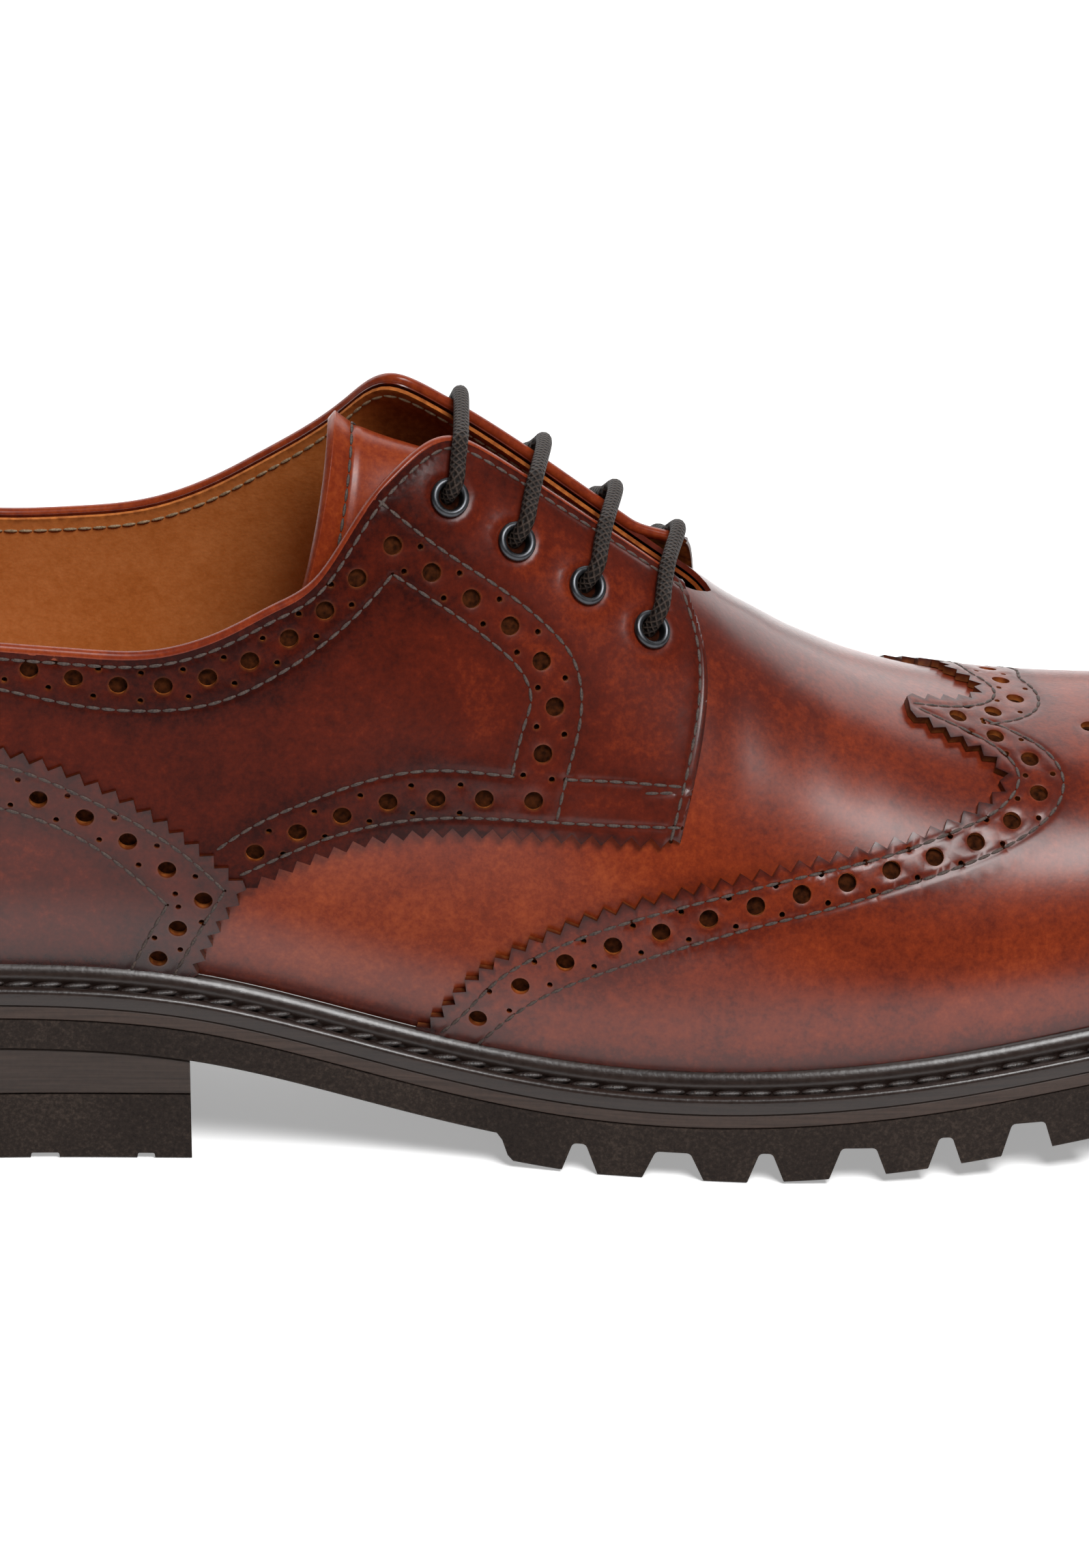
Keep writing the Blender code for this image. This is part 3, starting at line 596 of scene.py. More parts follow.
# Painted shade: near-black discs stand for the shaded inside of needle holes, pinholes and eyelets.
HOLE_SHADE = hole_floor("needle_hole", rgb(18, 7, 4), rgb(50, 22, 12))
# Painted shade: the big holes' floor is the leather below, drawn dark brown as in shade.
HOLE_FLOOR_SHADE = hole_floor("punched_hole", rgb(26, 12, 7), rgb(68, 34, 16))
print("finishes of sole, thread, metal and lace made")

# %% [markdown]
# ## Vamp and lining
# The vamp is the hollow upper itself, and the lining is its tan inside. Each is two grids, one for
# each side, laid on the last and merged along ridge, heel and toe; Solidify gives the wall. Soft
# hollows beside the facings and two faint flex lines across the toe's root are pressed in.
# Sculpting would do too, but on the last's own grid the wall stays even.


# %% Vamp and lining
def top_edge(q, side):
    return np.where(q > THROAT_END - 0.01, 1.0, COLLAR[side_name(side)](q))


FACING_HOLLOW = {"q": 181.5, "bow": 6.0, "width": 3.5, "depth": 0.22}
FLEX_LINES = ({"q": 193.0, "depth": 0.10}, {"q": 204.0, "depth": 0.08})
FLEX_BOW, FLEX_WIDTH = 16.0, 3.0


def vamp_relief(q, t):
    """Soft troughs of the vamp, in millimetres: beside the facing, and two flex lines."""
    middle = FACING_HOLLOW["q"] + FACING_HOLLOW["bow"] * (0.7 - t)**2
    trough = FACING_HOLLOW["depth"] * bell(q - middle, FACING_HOLLOW["width"]) * smooth_step(t, 0.45, 0.62)
    for line in FLEX_LINES:
        middle = line["q"] + FLEX_BOW * (1 - t)**2
        trough = trough + line["depth"] * bell(q - middle, FLEX_WIDTH) * smooth_step(t, 0.5, 0.8)
    return -trough


def last_half(name, side, columns, rows, lift, lower_by):
    """One side of a shell on the last, from the feather edge to the collar."""
    third = columns // 3
    breaks = np.concatenate([np.linspace(Q_HEEL, 100, third), np.linspace(100, 180, third + 1)[1:],
                             np.linspace(180, Q_TOE, columns - 2 * third + 2)[1:]])
    breaks[np.argmin(abs(breaks - THROAT_END))] = THROAT_END

    def lay(u, v):
        q = np.interp(u, np.linspace(0, 1, len(breaks)), breaks)
        top = top_edge(q, side)
        share = 1 - (1 - v)**1.4
        t = share * np.where(q > THROAT_END - 0.01, top, top - lower_by / girth(q, side))
        return on_last(q, side, t, lift + vamp_relief(q, t))

    return laid_grid(name, len(breaks) - 1, rows, lay, outward=False)


def shell(name, lift, wall, lower_by, columns, rows):
    """Both halves, merged, facing out, with a wall."""
    halves = [last_half(name + word, side, columns, rows, lift, lower_by)
              for side, word in ((-1, "_lateral"), (1, "_medial"))]
    for half, side in zip(halves, (-1, 1)):
        if sum(face.normal.y * face.area for face in half.data.polygons) * side < 0:
            edit(half, (bpy.ops.mesh.flip_normals, {}))
    made = join(name, halves)
    edit(made, (bpy.ops.mesh.remove_doubles, {"threshold": 1e-5}))
    apply(made, "SOLIDIFY", thickness=wall * MM, offset=-1.0)
    bpy.ops.object.shade_smooth_by_angle(angle=np.radians(50))
    return made


def set_attribute(piece, name, values):
    """A value for each point, which the finish reads."""
    made = piece.data.attributes.new(name, "FLOAT", "POINT")
    made.data.foreach_set("value", np.asarray(values, np.float32))


def above_welt(points):
    """Heights over the welt's lip, in millimetres."""
    return points[:, 2] - lip(points[:, 0])


def set_polish(piece, base):
    """How much wax a piece has; the rim is waxed together with the welt, so it shines most there."""
    low = 1 - smooth_step(above_welt(points_of(piece) / MM + SHIFT), 12, 24)
    set_attribute(piece, "polish", base + (1 - base) * low)


VAMP_DROP, LINING_DROP = 0.6, 0.9
# Painted shade: how much darker the leather is drawn just above the welt's bead.
WELT_SHADE = 0.3
VAMP = shell("vamp", 0.0, 1.0, VAMP_DROP, 210, 60)
LINING = shell("lining", -1.5, 0.7, LINING_DROP, 150, 40)
places = points_of(VAMP) / MM + SHIFT
# Darker towards the top and the front; rim is painted shade just above the welt's bead.
crown = smooth_step(places[:, 2], 62, 110)
rim = 1 - smooth_step(above_welt(places), 3, 10)
front = smooth_step(places[:, 0], 150, 190)
set_attribute(VAMP, "burnish", 0.30 + 0.22 * crown + 0.12 * front + WELT_SHADE * rim)
set_polish(VAMP, 0.15 + 0.7 * smooth_step(places[:, 2], 48, 85))
places = points_of(LINING) / MM + SHIFT
# Painted shade: the lining is drawn darker low in the shoe and from the throat forward.
shade = 0.35 * smooth_step(-places[:, 2], -70, -30) + 0.6 * smooth_step(places[:, 0], 106, 122)
set_attribute(LINING, "burnish", 0.30 + shade)
finish_piece(VAMP, [UPPER_LEATHER], "upper_leather", "upper")
finish_piece(LINING, [LINING_LEATHER], "lining_leather", "upper")

# %% [markdown]
# ## Patterns of the panels
# A maker cuts each panel flat, pinks its edge, punches its holes, and only then lasts it. The same
# order is used here: panels are drawn flat in millimetres, filled with triangles by a constrained
# Delaunay triangulation, which keeps every tooth and hole, and then laid on the last. Grids and
# modifiers can't give real teeth and holes at this size, so this step is done with arrays.


# %% Flat patterns
BIG_HOLE, PIN_HOLE = 1.75, 0.56


def line_length(line):
    """Lengths along a line, from its first point to each of its points."""
    return np.concatenate([[0], np.cumsum(np.linalg.norm(np.diff(line, axis=0), axis=1))])


class Pattern:
    """A flat pattern. Lengths and right angles are taken on the last, so holes stay round there."""

    @classmethod
    def solid(cls, flat, lift=0.0):
        return on_last(*cls.place(flat), lift)

    @classmethod
    def metric(cls, flat):
        """How steps on the pattern count on the last: a 2 by 2 matrix for each point."""
        step = 0.2
        rates = np.array([(cls.solid(flat + shift) - cls.solid(flat - shift)) / (2 * step)
                          for shift in (np.array([step, 0.0]), np.array([0.0, step]))])
        return np.einsum("ink,jnk->nij", rates, rates)

    @classmethod
    def length(cls, line):
        return line_length(cls.solid(line))

    @classmethod
    def evenly(cls, line, step):
        """A line's points, spaced evenly on the last."""
        length = cls.length(line)
        at = np.linspace(0, length[-1], max(int(round(length[-1] / step)), 1) + 1)
        return np.stack([np.interp(at, length, line[:, k]) for k in range(2)], -1)

    @classmethod
    def across(cls, line):
        """Steps of a millimetre on the last, square to a line, to its left."""
        along = unit(np.gradient(line, axis=0))
        counts = cls.metric(line)
        down = np.einsum("nij,nj->ni", counts, along)
        normal = np.stack([-down[:, 1], down[:, 0]], -1)
        return normal / np.sqrt(np.einsum("ni,nij,nj->n", normal, counts, normal))[:, None]

    @classmethod
    def beside(cls, line, distance):
        return cls.evenly(line + distance * cls.across(line), 0.5)

    @classmethod
    def ring(cls, x, y, radius, count):
        """A circle on the last, as points of the pattern."""
        values, vectors = np.linalg.eigh(cls.metric(np.array([[x, y]]))[0])
        shape = vectors @ np.diag(values**-0.5) @ vectors.T
        angles = np.linspace(0, 2 * np.pi, count + 1)[:-1]
        return np.array([x, y]) + radius * np.stack([np.cos(angles), np.sin(angles)], -1) @ shape

    @classmethod
    def pinked(cls, line, pitch=3.7, depth=1.9):
        """A line cut into teeth, as by a pinking die."""
        points = cls.evenly(line, pitch / 2)
        swing = np.where(np.arange(len(points)) % 2, 0.5, -0.5)
        swing[[0, -1]] = 0
        return points + depth * swing[:, None] * cls.across(points)

    @classmethod
    def brogue(cls, line, count, spread=2.7, ease=1.0):
        """Punched holes along a line, (x, y, radius): big ones, and a pair of pinholes between them."""
        length, normals = cls.length(line), cls.across(line)
        holes = []
        for k, at in enumerate(length[-1] * np.linspace(0, 1, 2 * count + 1)**ease):
            spot = np.array([np.interp(at, length, line[:, i]) for i in range(2)])
            normal = np.array([np.interp(at, length, normals[:, i]) for i in range(2)])
            if k % 2 == 0:
                holes.append((*spot, BIG_HOLE))
            else:
                holes += [(*(spot + spread * normal), PIN_HOLE), (*(spot - spread * normal), PIN_HOLE)]
        return holes


# %% Patterns opened out from heel and toe
class BackPattern(Pattern):
    """Quarters and counter, opened out flat from the back of the heel."""

    @staticmethod
    def flat(q, side, t):
        q, t = np.broadcast_arrays(np.asarray(q, float), np.asarray(t, float))
        return np.stack([side * (q - Q_HEEL), t * girth(q, side)], -1)

    @staticmethod
    def place(flat):
        side = np.where(flat[:, 0] < 0, -1, 1)
        q = Q_HEEL + abs(flat[:, 0])
        return q, side, flat[:, 1] / girth(q, side)


class ToePattern(Pattern):
    """The wing, opened out flat from the ridge over the toe."""

    @staticmethod
    def flat(q, side, t):
        q, t = np.broadcast_arrays(np.asarray(q, float), np.asarray(t, float))
        reach = (1 - t) * girth(q, side)
        turn = np.clip((q - TOE_POLE) / TOE_ARC, 0, 1) * np.pi / 2
        return np.stack([np.minimum(q, TOE_POLE) + np.sin(turn) * reach, side * np.cos(turn) * reach], -1)

    @staticmethod
    def place(flat):
        side = np.where(flat[:, 1] < 0, -1, 1)
        ahead = np.maximum(flat[:, 0] - TOE_POLE, 0)
        turn = np.arctan2(ahead, np.maximum(abs(flat[:, 1]), 1e-9))
        q = np.where(ahead > 0, TOE_POLE + TOE_ARC * turn / (np.pi / 2), flat[:, 0])
        reach = np.hypot(ahead, flat[:, 1])
        return q, side, 1 - reach / girth(q, side)


# %% Lines and loops on a pattern
def smooth_line(points):
    """A smooth line through a few points."""
    points = np.asarray(points, float)
    length = line_length(points)
    fine = np.linspace(0, length[-1], int(length[-1] / 0.5) + 2)
    return np.stack([natural_spline(length, column)(fine) for column in points.T], -1)


def row_distance(points, line):
    """Distance of each point from a line."""
    best = np.full(len(points), 1e9)
    for a, b in zip(line[:-1], line[1:]):
        run = b - a
        share = np.clip(((points - a) @ run) / max(run @ run, 1e-12), 0, 1)
        best = np.minimum(best, np.linalg.norm(points - a - share[:, None] * run, axis=1))
    return best


def inside(points, loop):
    """True where a point is inside a closed loop."""
    odd = np.zeros(len(points), bool)
    for a, b in zip(loop, np.roll(loop, -1, axis=0)):
        crosses = (a[1] > points[:, 1]) != (b[1] > points[:, 1])
        x = a[0] + (points[:, 1] - a[1]) / np.where(b[1] == a[1], 1e-12, b[1] - a[1]) * (b[0] - a[0])
        odd ^= crosses & (points[:, 0] < x)
    return odd


print("flat patterns ready")

# %% Triangles of a panel
HOLE_REACH = 8.0


def hole_rings(pattern, holes):
    """The rims of punched holes; pinholes have fewer points."""
    return [pattern.ring(x, y, r, 20 if r > 1 else 9) for x, y, r in holes]


def triangles_of(pattern, loop, holes, extra):
    """Triangles of a loop less its holes, with extra points inside, all flat."""
    rings = [loop] + hole_rings(pattern, holes)
    points, edges = [], []
    for ring in rings:
        first = len(points)
        points += [Vector(point.tolist()) for point in ring]
        edges += [(first + k, first + (k + 1) % len(ring)) for k in range(len(ring))]
    points += [Vector(point.tolist()) for point in extra]
    flat, _, faces, *_ = delaunay_2d_cdt(points, edges, [], 1, 1e-5)
    flat = np.array([tuple(point) for point in flat])
    faces = np.array([face for face in faces if len(face) == 3])
    middle = flat[faces].mean(axis=1)
    keep = np.ones(len(faces), bool)
    for ring in rings[1:]:
        near = np.flatnonzero(np.linalg.norm(middle - ring.mean(axis=0), axis=1) < HOLE_REACH)
        keep[near] &= ~inside(middle[near], ring)
    return flat, faces[keep]


def lattice(loop, step):
    """Points of an even triangular lattice inside a loop."""
    low, high = loop.min(axis=0), loop.max(axis=0)
    x, y = np.meshgrid(np.arange(low[0], high[0], step), np.arange(low[1], high[1], step * 0.866))
    x[1::2] += step / 2
    spots = np.stack([x.ravel(), y.ravel()], -1)
    return spots[inside(spots, loop)]


def nearest(points, others):
    """Distance of each point from the nearest of other points."""
    chunks = np.array_split(points, max(len(points) // 500, 1))
    return np.concatenate([np.linalg.norm(chunk[:, None] - others[None], axis=2).min(axis=1)
                           for chunk in chunks])


def rims(faces):
    """Directed sides that only one face has."""
    sides = {(int(face[k - 1]), int(face[k])) for face in faces for k in range(3)}
    return sorted(pair for pair in sides if pair[::-1] not in sides)


# %% Relief of a panel
ROW_PUFF, ROW_DIP = 0.07, 0.18
EYELET_PUFF, EYELET_DIP = 0.32, 0.12
HOLE_DIP, PIN_DIP = 0.11, 0.08
FOLD_WIDTH, FOLD_DROP = 1.1, 0.75
ROW_GUIDES = (-1.5, -0.7, 0.0, 0.7, 1.5)
FOLD_GUIDES = (-1.1, -0.7, -0.3, 0.3, 0.7, 1.1)
HOLE_COLLARS, EYELET_COLLARS = (0.45,), (0.6, 1.4, 2.2, 3.0)


def panel_lift(points, top, centres, sizes, rows, front):
    """Height of a panel's face: pressed along rows and round holes, puffed at eyelets, rolled in front."""
    lift = np.full(len(points), top)
    for row in rows:
        away = row_distance(points, row)
        lift += ROW_PUFF * bell(away - 1.5, 0.8) - ROW_DIP * bell(away, 0.5)
    for centre, r in zip(centres, sizes):
        away = np.maximum(np.linalg.norm(points - centre, axis=1) - r, 0)
        if r > 2:
            lift += EYELET_PUFF * bell(away - 2.1, 0.9) - EYELET_DIP * bell(away, 1.0)
        else:
            lift -= (HOLE_DIP if r > 1 else PIN_DIP) * bell(away, 0.6)
    if front is not None:
        past = np.clip(1 - row_distance(points, front) / FOLD_WIDTH, 0, 1)
        lift -= FOLD_DROP * (1 - np.sqrt(1 - past**2))
    return lift


def guide_points(pattern, loop, holes, rows, front):
    """Points that a panel needs inside its loop: along rows, round holes, and an even filling."""
    lines = [(row, shift) for row in rows for shift in ROW_GUIDES]
    if front is not None:
        lines += [(front, shift) for shift in FOLD_GUIDES]
    kept = np.concatenate([pattern.evenly(row + shift * pattern.across(row), 1.4) for row, shift in lines])
    kept = kept[inside(kept, loop)]
    rim = pattern.solid(np.concatenate([loop] + hole_rings(pattern, holes)))
    kept = kept[nearest(pattern.solid(kept), rim) > 0.7]
    collars = [pattern.ring(x, y, r + gap, 16 if r > 1 else 8) for x, y, r in holes
               for gap in (HOLE_COLLARS if r < 2 else EYELET_COLLARS)]
    collars = np.concatenate(collars)
    collars = collars[inside(collars, loop)]
    spots = lattice(loop, 2.0)
    taken = np.concatenate([rim, pattern.solid(kept), pattern.solid(collars)])
    spots = spots[nearest(pattern.solid(spots), taken) > 0.9]
    return np.concatenate([kept, collars, spots])


# %% Cut a panel and lay it on the last
PANEL_FOOT, CORNER_OFF = 0.15, 3.2
SEAM_BURNISH, EDGE_BURNISH = 0.20, 0.92


def stand_off(q, side, t):
    """How far the inner facing's front corner stands off the vamp, in millimetres."""
    corner = smooth_step(q, 163, 173) * smooth_step(t, 0.80, 0.92)
    return CORNER_OFF * corner * ((side > 0) & (q < 177))


def cut_panel(name, pattern, loop, holes, rows, top, burnish, front=None):
    """A leather panel: cut flat with its holes, laid on the last and given its thickness."""
    room = nearest(pattern.solid(np.array([hole[:2] for hole in holes])), pattern.solid(loop))
    holes = [hole for hole, free in zip(holes, room) if free > hole[2] + 0.4]
    flat, faces = triangles_of(pattern, loop, holes, guide_points(pattern, loop, holes, rows, front))
    points = pattern.solid(flat)
    centres, sizes = pattern.solid(np.array([hole[:2] for hole in holes])), [hole[2] for hole in holes]
    rows = [pattern.solid(pattern.evenly(row, 1.5)) for row in rows]
    lift = panel_lift(points, top, centres, sizes, rows, None if front is None else pattern.solid(front))
    edges = rims(faces)
    rim = np.unique(np.array(edges))
    lift[rim] -= 0.04
    off = stand_off(*pattern.place(flat))
    upper, lower = pattern.solid(flat, lift + off), pattern.solid(flat, PANEL_FOOT + off)
    corner = upper[faces]
    facing = np.cross(corner[:, 1] - corner[:, 0], corner[:, 2] - corner[:, 0])
    if (facing * (upper - lower)[faces[:, 0]]).sum() < 0:
        faces = faces[:, ::-1]
        edges = [pair[::-1] for pair in edges]
    count = len(flat)
    walls = [(b, a, a + count, b + count) for a, b in edges]
    mesh = bpy.data.meshes.new(name)
    solid = np.concatenate([upper, lower])
    mesh.from_pydata(((solid - SHIFT) * MM).tolist(), [],
                     faces.tolist() + (faces[:, ::-1] + count).tolist() + walls)
    piece = bpy.data.objects.new(name, mesh)
    bpy.context.scene.collection.objects.link(piece)
    near = np.min([row_distance(points, row) for row in rows], axis=0)
    # Rows darken by burnish; the strip just above the welt is darkened as painted shade.
    low = 1 - smooth_step(above_welt(points), 3, 10)
    dark = np.tile(burnish(points[:, 0]) + SEAM_BURNISH * bell(near, 4.0) + WELT_SHADE * low, 2)
    punched = np.zeros(count, bool)
    punched[rim] = nearest(points[rim], pattern.solid(loop)) > 0.05
    cut = np.zeros(count, bool)
    cut[rim] = ~punched[rim]
    dark[np.tile(cut, 2)] = EDGE_BURNISH
    set_attribute(piece, "burnish", dark)
    set_attribute(piece, "raw", np.concatenate([0.1 * punched, np.where(cut, 0.3, 1.0)]))
    only(piece)
    bpy.ops.object.shade_smooth_by_angle(angle=np.radians(42))
    return piece


# %% [markdown]
# ## The wing
# The toe cap has a wing's outline: its pinked edge comes from a tail at the welt up to a lobe, then
# back to a blunt peak on top. The peak lies a little to the outer side of the ridge, so the inner
# half is the outer half mirrored about that axis, stretched to reach its own feather edge, with its
# lobe further forward. Both halves could be drawn, but mirroring one keeps teeth and holes alike.

# %% Wing lines
WING_AXIS = -6.7
WING_TOP = 1.6
WING_EDGE = [(120.9, 0.015), (125.5, 0.058), (129.4, 0.109), (134.7, 0.163), (141.0, 0.21), (154.0, 0.291),
             (168.4, 0.361), (187.7, 0.444), (207.5, 0.524), (219.8, 0.58), (225.6, 0.622), (230.2, 0.668),
             (232.0, 0.708), (230.1, 0.779), (225.2, 0.824), (219.8, 0.86), (215.0, 0.893)]
WING_ROW = [(126.0, 0.03), (128.2, 0.051), (135.6, 0.136), (143.4, 0.199), (157.7, 0.283), (175.5, 0.367),
            (195.9, 0.452), (213.7, 0.524), (222.0, 0.569), (232.0, 0.648), (234.8, 0.730), (232.8, 0.794),
            (226.6, 0.859), (215.9, 0.912)]
WING_INNER_ROW = [(132.5, 0.02), (141.1, 0.106), (154.0, 0.190), (168.4, 0.262), (185.2, 0.335),
                  (195.8, 0.374), (210.6, 0.433), (223.9, 0.490), (234.9, 0.556), (242.6, 0.664),
                  (243.3, 0.719), (239.6, 0.835), (230.5, 0.918)]
WING_HOLES = [(132.9, 0.072), (139.5, 0.135), (148.1, 0.198), (166.1, 0.290), (183.6, 0.369), (200.9, 0.438),
              (217.8, 0.506), (225.9, 0.545), (233.0, 0.600), (238.6, 0.685), (237.6, 0.781), (231.6, 0.857),
              (224.4, 0.918)]


def toe_line(places):
    q, t = np.array(places).T
    return smooth_line(ToePattern.flat(q, -1, t))


INNER_STRETCH = {"share": 0.11, "reach": 123.0}
INNER_LOBE = {"ahead": 14.0, "rise": (20, 36), "fall": (45, 110)}
INNER_PEAK = {"back": 2.3, "away": 16.0, "width": 10.0}


def mirrored(line):
    """The inner half of a wing line, from its outer half; it runs the other way."""
    away = WING_AXIS - line[:, 1]
    stretched = away * (1 + INNER_STRETCH["share"] * (away / INNER_STRETCH["reach"])**2)
    rise, fall = smooth_step(away, *INNER_LOBE["rise"]), smooth_step(away, *INNER_LOBE["fall"])
    peak = INNER_PEAK["back"] * bell(away - INNER_PEAK["away"], INNER_PEAK["width"])
    ahead = line[:, 0] + INNER_LOBE["ahead"] * rise * (1 - fall) - peak
    return np.stack([ahead, WING_AXIS + stretched], -1)[::-1]


PANEL_HEM, WING_TAIL = 2.4, 122.5


def welt_run(start, end, side, pattern):
    """The hidden lower edge of a panel, along the welt."""
    q = np.linspace(start, end, int(abs(end - start) / 2.5) + 2)
    return pattern.flat(q, side, PANEL_HEM / girth(q, side))


wing_edge = toe_line(WING_EDGE)
wing_loop = np.concatenate([
    ToePattern.pinked(wing_edge), ToePattern.pinked(mirrored(wing_edge)),
    welt_run(WING_TAIL, Q_TOE, 1, ToePattern)[:-1], welt_run(Q_TOE, WING_TAIL, -1, ToePattern)])
wing_rows = [line for row in (WING_ROW, WING_INNER_ROW) for line in (toe_line(row), mirrored(toe_line(row)))]
hole_line = toe_line(WING_HOLES)
wing_holes = ToePattern.brogue(hole_line, 16, ease=0.92) + ToePattern.brogue(mirrored(hole_line), 17)[1:]
print("wing:", len(wing_rows), "rows and", len(wing_holes), "holes along its edge")


# %% Medallion and wing
def medallion(centre_x, centre_y):
    """A plain rosette of punched holes on the toe, with a short tail towards the peak."""
    holes = [(centre_x, centre_y, BIG_HOLE)]
    for radius, size, count, turn in ((5.0, PIN_HOLE, 8, 0.5), (8.6, 1.3, 8, 0.0), (12.4, PIN_HOLE, 8, 0.5)):
        for k in range(count):
            angle = 2 * np.pi * (k + turn) / count
            holes.append((centre_x + radius * np.cos(angle), centre_y + radius * np.sin(angle), size))
    return holes + [(centre_x - 16.5, centre_y, BIG_HOLE), (centre_x - 12.6, centre_y, PIN_HOLE)]


def wing_burnish(x):
    """A little darker towards the toe's tip."""
    return 0.36 + 0.1 * smooth_step(x, 225, 262)


wing_holes += medallion(266.5, WING_AXIS + 2)
WING = cut_panel("wing", ToePattern, wing_loop, wing_holes, wing_rows, WING_TOP, wing_burnish)
set_polish(WING, 0.42)
finish_piece(WING, [UPPER_LEATHER], "upper_leather", "wing_cap")

# %% [markdown]
# ## Quarters
# The quarters carry the facings with the eyelets. Their top edge is rolled over the lining, their
# front is folded, and only the lower edge is pinked. Rows of stitches frame bands of holes. A Mirror
# modifier can't make the second one, because the last isn't symmetric, so one function makes both.

# %% Quarter lines
QUARTER_TOP = 1.35
COUNTER_TOP = table("q t", (-11, 0.366), (20, 0.362), (45, 0.347), (64, 0.299), (75, 0.259), (90, 0.184))
QUARTER_FOOT = table("q t", (90, 0.184), (95, 0.213), (105, 0.270), (120, 0.333), (143, 0.391), (154, 0.417),
                     (176, 0.470))
COUNTER_TIP, FRONT_FOOT, FRONT_TOP = 90.0, 170.3, 172.3
QUARTER_FRONT = table("share q", (0, FRONT_FOOT), (0.35, 174.6), (0.72, 175.9), (1, FRONT_TOP))
EYESTAY_ROW = [(115.2, 0.79), (127.9, 0.753), (137.0, 0.740), (146.4, 0.718), (150.3, 0.695), (152.2, 0.628),
               (150.9, 0.556), (149.2, 0.498), (147.6, 0.435)]
WINDOW_ROWS = (
    [(84.5, 0.231), (90.9, 0.277), (102.5, 0.344), (115.4, 0.407), (125.1, 0.440), (139.2, 0.471)],
    [(139.2, 0.471), (141.7, 0.558), (142.8, 0.603), (141.2, 0.632), (136.9, 0.652), (128.5, 0.673),
     (117.7, 0.696)],
    [(117.7, 0.696), (113.3, 0.647), (104.1, 0.564), (94.6, 0.497), (83.6, 0.442), (72.8, 0.418),
     (58.1, 0.416), (44.9, 0.433), (20.0, 0.452), (-11.0, 0.470)])
BAR_ROWS = ([(148.8, 0.497), (159.5, 0.528), (171.4, 0.558)], [(163.7, 0.523), (169.1, 0.541)])
TOPLINE_HOLES = [(111.2, 0.674), (105.2, 0.616), (98.3, 0.561), (90.7, 0.513), (82.5, 0.475), (74.0, 0.453),
                 (65.3, 0.448), (57.0, 0.454), (48.6, 0.463), (20.0, 0.481), (-7.2, 0.498)]
EYESTAY_HOLES = [(117.8, 0.735), (124.0, 0.720), (130.8, 0.707), (138.0, 0.695), (144.7, 0.665),
                 (147.3, 0.606), (145.0, 0.524), (143.2, 0.446)]
LOWER_HOLES = [(134.1, 0.422), (125.6, 0.400), (116.5, 0.373), (108.2, 0.334), (100.0, 0.291), (91.7, 0.241)]


def back_line(places, side):
    """A line of a quarter or counter; the inner side follows its own, higher collar."""
    q, t = np.array(places).T
    outer, own = COLLAR["lateral"](q), COLLAR[side_name(side)](q)
    t = t * (1 + (own / outer - 1) * smooth_step(t / outer, 0.55, 1))
    return smooth_line(BackPattern.flat(q, side, t))


EYELET_HOLE = 2.9
EYELETS = ({"q": 128.3, "lateral": 0.832, "medial": 0.816}, {"q": 140.5, "lateral": 0.820, "medial": 0.806},
           {"q": 153.5, "lateral": 0.817, "medial": 0.800}, {"q": 165.4, "lateral": 0.806, "medial": 0.798})


UNDERLAP, ROLL_ROOM = 0.045, 1.1
EDGE_ROWS = {"foot": 2.9, "front": 1.9, "top": 1.6}
print("quarters:", len(EYELETS), "pairs of eyelets")


# %% Edges of a quarter
def quarter_runs(side):
    """The edges of a quarter: under the counter, foot, front, and facing with topline."""
    collar = COLLAR[side_name(side)]
    under, foot = np.linspace(Q_HEEL, COUNTER_TIP - 4, 30), np.linspace(COUNTER_TIP, FRONT_FOOT, 120)
    share = np.linspace(0, 1, 80)
    front, top = QUARTER_FRONT["q"](share), np.linspace(FRONT_TOP, Q_HEEL, 400)
    low, high = QUARTER_FOOT["t"](front), collar(front)
    return {"under": BackPattern.flat(under, side, COUNTER_TOP["t"](under) - UNDERLAP),
            "foot": BackPattern.flat(foot, side, QUARTER_FOOT["t"](foot)),
            "front": BackPattern.flat(front, side, low + share * (high - low)),
            "top": BackPattern.flat(top, side, collar(top) - ROLL_ROOM / girth(top, side))}


def quarter_burnish(x):
    """Darkest over the heel, lighter on the facing."""
    return 0.68 - 0.14 * smooth_step(x, 118, 146)


def make_quarter(name, side):
    """A quarter, its rows and its punched holes."""
    runs = quarter_runs(side)
    loop = np.concatenate([
        BackPattern.evenly(runs["under"], 3), BackPattern.pinked(runs["foot"]),
        BackPattern.evenly(runs["front"], 1.3)[1:], BackPattern.evenly(runs["top"], 1.3)[1:]])
    rows = [BackPattern.beside(runs[run], side * inside_by) for run, inside_by in EDGE_ROWS.items()]
    rows += [back_line(row, side) for row in (EYESTAY_ROW, *WINDOW_ROWS, *BAR_ROWS)]
    holes = []
    for places, count in ((TOPLINE_HOLES, 15), (EYESTAY_HOLES, 7), (LOWER_HOLES, 5)):
        holes += BackPattern.brogue(back_line(places, side), count)
    holes += [(*BackPattern.flat(eye["q"], side, eye[side_name(side)]), EYELET_HOLE) for eye in EYELETS]
    piece = cut_panel(name, BackPattern, loop, holes, rows, QUARTER_TOP, quarter_burnish, runs["front"])
    return piece, rows, holes


# %% Both quarters
quarters = {side: make_quarter(name, side) for name, side in (("outer_quarter", -1), ("inner_quarter", 1))}
for piece, _, _ in quarters.values():
    set_polish(piece, 0.02 + 0.45 * smooth_step(points_of(piece)[:, 0] / MM, -55, 15))
finish_piece(quarters[-1][0], [UPPER_LEATHER], "upper_leather", "quarter_outer")
finish_piece(quarters[1][0], [UPPER_LEATHER], "upper_leather", "quarter_inner")


